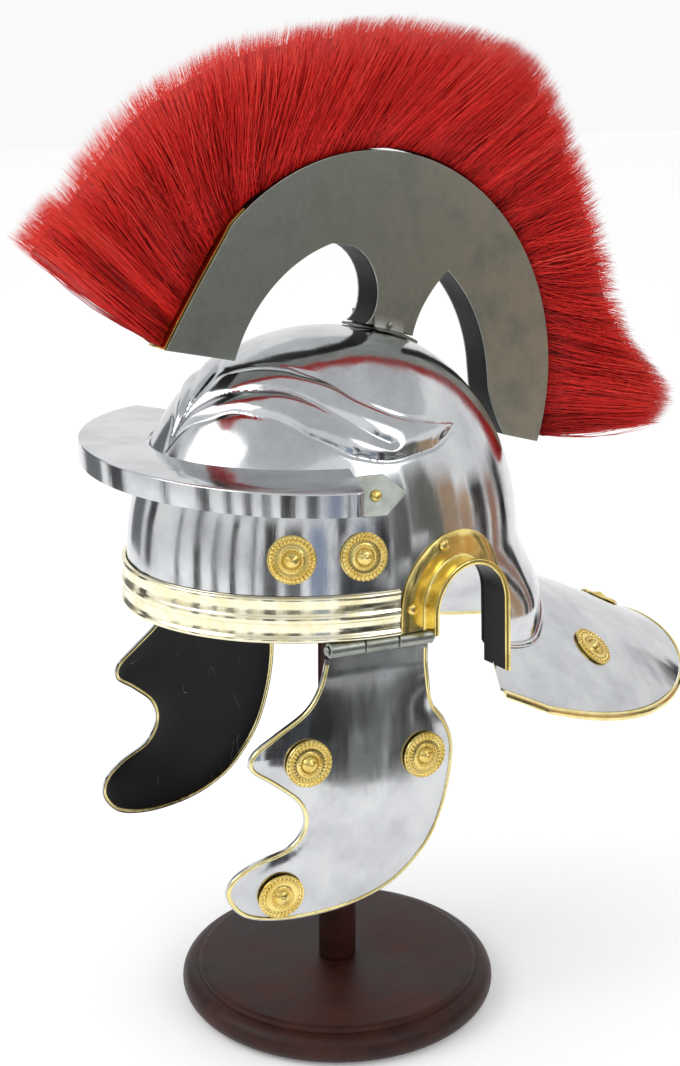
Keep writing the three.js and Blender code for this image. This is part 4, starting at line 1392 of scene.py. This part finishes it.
def cheek_surface(along, up):
    """How far the plate's outer face lies out from the hinge line."""
    across = 1 - ((along - 10) / 78) ** 2
    fall = np.clip((-up - 14) / 138, 0, 1)
    return CHEEK_INSET + CHEEK_BULGE * across * 4 * fall * (1 - fall)


def edge_turn(flat):
    """How far the sheet turns back towards its free edge."""
    depth = np.exp(-near(flat, cheek_outline) / EDGE_TURN_WIDTH)
    return EDGE_TURN * depth * smooth((-flat[:, 1] - 20) / 25)


CHEEK_POINTS = [(0, -5.6), (-3.5, -18), (-12, -31), (-28, -41.5), (-40.5, -50), (-42, -59),
                (-30, -68.5), (-17, -80.5), (-14, -93), (-22, -104), (-41, -110.5), (-53, -118.5),
                (-55, -129), (-45, -141), (-25, -147), (0, -148), (22, -144.5), (42, -135.5),
                (60, -117), (70, -93), (73.8, -66), (69, -50), (61, -38), (58, -22), (57.6, -5.6)]
cheek_outline = curve(CHEEK_POINTS, 9)
print("cheek outline points", len(cheek_outline))

# %% Cheek plates
def on_cheek_sheet(flat, depth):
    return at_hinge(cheek_surface(flat[:, 0], flat[:, 1]) - depth - edge_turn(flat), flat[:, 0], flat[:, 1])


cheek_faces = [lambda p: on_cheek_sheet(p, 0), lambda p: on_cheek_sheet(p, CHEEK_SHEET)]
cheek_skin = sheet_skin(cheek_outline, 3.2, *cheek_faces)
for side in ("left", "right"):
    skin = sided(cheek_skin, side)
    thing = link(f"cheek_guard_steel_{side}", to_mesh("cheek", *skin))
    body = f"cheek_guard_{side}"
    finished(thing, [polished_steel, black_paint], body, [f"cheek_plate_{side}"], 35)
    away = Vector(OUT_WAY * (side_sign(side), 1, 1))
    for face in thing.data.polygons:
        face.material_index = int(face.normal.dot(away) < -0.3)
print("cheek faces", len(thing.data.polygons))

# %% Cheek edging
edge_path = cheek_outline[cheek_outline[:, 1] < -7]
edge_path = even(edge_path, 240)
tracks = []
for across, up in oval(1.05, 1.4, 14):
    moved = beside(edge_path, -(1.425 + across))
    tracks.append(on_cheek_sheet(moved, 0.65 - up))
add_pair("cheek_binding", loft(np.stack(tracks, 1)), "cheek_guard_{side}", "cheek_edging", edge_brass, 60)

# %% Cheek rosettes
STEP = 0.5


def on_cheek(along, up):
    slope_along = (cheek_surface(along + STEP, up) - cheek_surface(along - STEP, up)) / (2 * STEP)
    slope_up = (cheek_surface(along, up + STEP) - cheek_surface(along, up - STEP)) / (2 * STEP)
    normal = unit(OUT_WAY - slope_along * ALONG_WAY - slope_up * np.array([0, 0, 1.0]))
    return at_hinge(cheek_surface(along, up), along, up), normal


for place, along, up in (("front", -12.0, -58.0), ("rear", 54.0, -65.0), ("chin", -27.0, -130.0)):
    skin = seated(rosette, *on_cheek(along, up), 0.95)
    add_pair(f"cheek_boss_{place}", skin, "cheek_guard_{side}", f"cheek_rosette_{place}")

# %% [markdown]
# ## Cheek hinges
# Each hinge has three equal knuckles on a pin. The outer two belong to the leaf that goes up inside the
# bowl, and the middle one to the leaf behind the cheek plate, so the guard swings out from the face.

# %% Hinges
THIRD = HINGE_LENGTH / 3
LEAF_IN = -5.2


def knuckle(first, last, radius=KNUCKLE):
    """A rolled knuckle with eased ends, along the hinge line."""
    chamfer = 0.45
    profile = [(0, first), (radius - chamfer, first), (radius, first + chamfer), (radius, last - chamfer),
               (radius - chamfer, last), (0, last)]
    points, faces = turned(profile, 40)
    return at_hinge(points[:, 0], points[:, 2], points[:, 1]), faces


def leaf(out, along, up):
    """A straight plate between two limits each way, in hinge coordinates."""
    corners = [(along[0], up[0]), (along[1], up[0]), (along[1], up[1]), (along[0], up[1])]
    points, faces = slab(corners, out[0], out[1])
    return at_hinge(points[:, 0], points[:, 1], points[:, 2]), faces


def fused(name, parts):
    thing = link(name, to_mesh(name, *parts[0]))
    for part in parts[1:]:
        cut(thing, part, "UNION")
    return thing


for side in ("left", "right"):
    flip = (lambda s: s) if side == "left" else mirror
    fixed = [leaf((LEAF_IN, -4.0), (2, HINGE_LENGTH - 2), (1.4, 20))]
    for first in (0, 2 * THIRD):
        fixed.append(knuckle(first, first + THIRD))
        fixed.append(leaf((LEAF_IN, 0), (first + 2, first + THIRD - 1), (1.4, 3.6)))
    thing = fused(f"hinge_fixed_{side}", [flip(part) for part in fixed])
    finished(thing, [satin_steel], "helmet", [f"cheek_hinge_fixed_{side}"], 40)
    ends = (THIRD + 0.5, 2 * THIRD - 0.5)
    moving = [leaf((LEAF_IN, -4.4), (4, HINGE_LENGTH - 4), (-18, -5)), knuckle(*ends),
              leaf((LEAF_IN, 0), ends, (-3.6, -1.4)), leaf((LEAF_IN, -4.0), ends, (-8, -1.4))]
    thing = fused(f"hinge_moving_{side}", [flip(part) for part in moving])
    body = f"cheek_guard_{side}"
    finished(thing, [satin_steel], body, [f"cheek_hinge_moving_{side}"], 40)
    pin = [knuckle(-1.6, -0.1, 2.4), knuckle(HINGE_LENGTH + 0.1, HINGE_LENGTH + 1.6, 2.4),
           knuckle(-0.5, HINGE_LENGTH + 0.5, 1.5)]
    thing = fused(f"hinge_pin_{side}", [flip(part) for part in pin])
    finished(thing, [satin_steel], "helmet", [f"cheek_hinge_pin_{side}"], 40)
print("hinge axis", [round(v, 3) for v in hinge["axis"]])

# %% [markdown]
# ## Floor and light
# Polished metal shows the room more than itself. A pale floor and a white room light the helmet softly. Grey
# and dark cards stand round it out of shot, as a photographer's flags do, so the steel has something dark
# to mirror and its curves read. Cards only show in reflections.

# %% Floor
FLOOR_HALF = 9000
FLOOR_DROP = -0.4
corners = [(x * FLOOR_HALF, y * FLOOR_HALF, FLOOR_DROP) for x, y in ((-1, -1), (1, -1), (1, 1), (-1, 1))]
floor_mesh = to_mesh("floor", corners, [(0, 1, 2, 3)])
floor = link("floor", floor_mesh)
floor_finish = Finish("pale_floor", Roughness=0.9, Specular_IOR_Level=0.0, Emission_Strength=0.12)
floor_finish.shader.inputs["Emission Color"].default_value = (1.0, 1.0, 1.0, 1.0)
mottle = floor_finish.noise(floor_finish.place, 0.6, 3.0, 0.5)
floor_finish.set(Base_Color=floor_finish.mixed(mottle, rgba("F6F6F6"), rgba("F2F2F2")))
floor_mesh.materials.append(floor_finish.material)
floor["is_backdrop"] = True

# %% The room
world = bpy.data.worlds.new("room")
bpy.context.scene.world = world
world.use_nodes = True
world.node_tree.nodes["Background"].inputs["Color"].default_value = (1.0, 1.0, 1.0, 1.0)
world.node_tree.nodes["Background"].inputs["Strength"].default_value = 0.95
bpy.context.scene.view_settings.view_transform = "Standard"


def soft_light(name, place, aim, size, power):
    data = bpy.data.lights.new(name, "AREA")
    data.shape = "RECTANGLE"
    data.size, data.size_y = size
    data.energy = power
    lamp = bpy.data.objects.new(name, data)
    lamp.location = place
    lamp.rotation_euler = (Vector(aim) - Vector(place)).to_track_quat("-Z", "Y").to_euler()
    lamp.visible_camera = False
    bpy.context.scene.collection.objects.link(lamp)


soft_light("key", (-0.4, -1.6, 1.7), (0, 0, 0.3), (1.6, 1.2), 14)
soft_light("fill", (1.7, 0.5, 1.3), (0, 0, 0.3), (1.0, 1.0), 6)

# %% Cards round the helmet
CARD_AWAY = 0.85
LOW_CARD_AWAY = 0.50
CARD_FADE = 0.22    # the share of a card's height over which it fades into the white room


def card(name, corners, color):
    """A flat card that only shows in reflections, from its corners in metres and its colour."""
    mesh = bpy.data.meshes.new(name)
    mesh.from_pydata(corners, [], [(0, 1, 2, 3)])
    thing = link(name, mesh)
    paint = Finish(name, Roughness=1.0, Emission_Strength=1.0)
    glow = paint.noise(paint.stretched(1, 1, 0.15), 14.0, 3.0)
    shaded = tuple(c * 0.55 for c in rgb(color))
    tint = paint.mixed(glow, rgba(color), (*shaded, 1.0))
    height = paint.place.node("ShaderNodeSeparateXYZ", None, {"Vector": paint.place}, out=2)
    ends = [corner[2] for corner in corners]
    if max(ends) > min(ends):
        fade = paint.grey(height, max(ends) - CARD_FADE * (max(ends) - min(ends)), max(ends))
        tint = paint.mixed(fade, tint, (0.9, 0.9, 0.9, 1.0))
    paint.set(Base_Color=(0, 0, 0, 1), Emission_Color=tint)
    mesh.materials.append(paint.material)
    thing.visible_camera = False
    thing.visible_diffuse = False
    thing.visible_shadow = False
    thing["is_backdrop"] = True


def upright(azimuth, width, low, high, away=CARD_AWAY):
    """Corners of an upright card that faces the helmet. Azimuth runs anticlockwise from +X, in degrees."""
    turn = math.radians(azimuth)
    middle = np.array([math.cos(turn), math.sin(turn)]) * away
    along = np.array([-math.sin(turn), math.cos(turn)]) * width / 2
    first, last = middle - along, middle + along
    return [(*first, low), (*last, low), (*last, high), (*first, high)]


# azimuth, width, lower and upper edge, colour
CARDS = [(-106, 0.06, 0.05, 0.50, "96989A"), (-90, 0.08, 0.05, 0.60, "4A4B4C"),
         (-78, 0.05, 0.05, 0.50, "606264"), (-68, 0.07, 0.05, 0.55, "2E2F30"),
         (-57, 0.05, 0.05, 0.60, "8A8D92"), (-47, 0.10, 0.05, 0.55, "1D1E1F"),
         (-35, 0.12, 0.05, 0.50, "54565A"), (-22, 0.13, 0.05, 0.50, "A3B2CC"),
         (-11, 0.09, 0.04, 0.60, "141516"), (-2, 0.09, 0.04, 0.50, "8A98B2"),
         (8, 0.16, 0.03, 0.55, "2A2B29"), (20, 0.16, 0.05, 0.70, "6A6C66"),
         (33, 0.20, 0.05, 0.75, "74766F"), (46, 0.18, 0.05, 0.60, "C9A98A"),
         (59, 0.18, 0.05, 0.45, "DDB590"), (71, 0.12, 0.05, 0.45, "241B18"),
         (82, 0.14, 0.05, 0.40, "B88A70"), (94, 0.16, 0.05, 0.42, "1A1918"),
         (200, 0.30, 0.1, 0.8, "85878A"), (222, 0.16, 0.1, 0.7, "4A4B4D")]
for index, (azimuth, width, low, high, color) in enumerate(CARDS):
    card(f"card_{index}", upright(azimuth, width, low, high), color)
# the same, for the low cards close in front of the left cheek guard
LOW_CARDS = [(26, 0.07, 0.0, 0.30, "2E2D2A"), (18, 0.06, 0.0, 0.24, "50514E"),
             (11, 0.05, 0.0, 0.20, "8A8C8A"), (5, 0.05, 0.0, 0.22, "4A4B49"),
             (-2, 0.07, 0.0, 0.27, "2C2D2C"), (-10, 0.06, 0.0, 0.34, "3C3D3F")]
for index, (azimuth, width, low, high, color) in enumerate(LOW_CARDS):
    card(f"card_low_{index}", upright(azimuth, width, low, high, LOW_CARD_AWAY), color)
CEILING = 1.9
ceiling = [(-2, -2, CEILING), (2, -2, CEILING), (2, 2, CEILING), (-2, 2, CEILING)]
card("card_ceiling", ceiling, "E8E9EA")
print("cards", len(CARDS) + len(LOW_CARDS) + 1)

# %% [markdown]
# ## Size and finish
# The size of the finished model's box is printed, in millimetres.

# %% Write the size and finish
low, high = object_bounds()
print("size", [round((b - a) / MM, 1) for a, b in zip(low, high)])
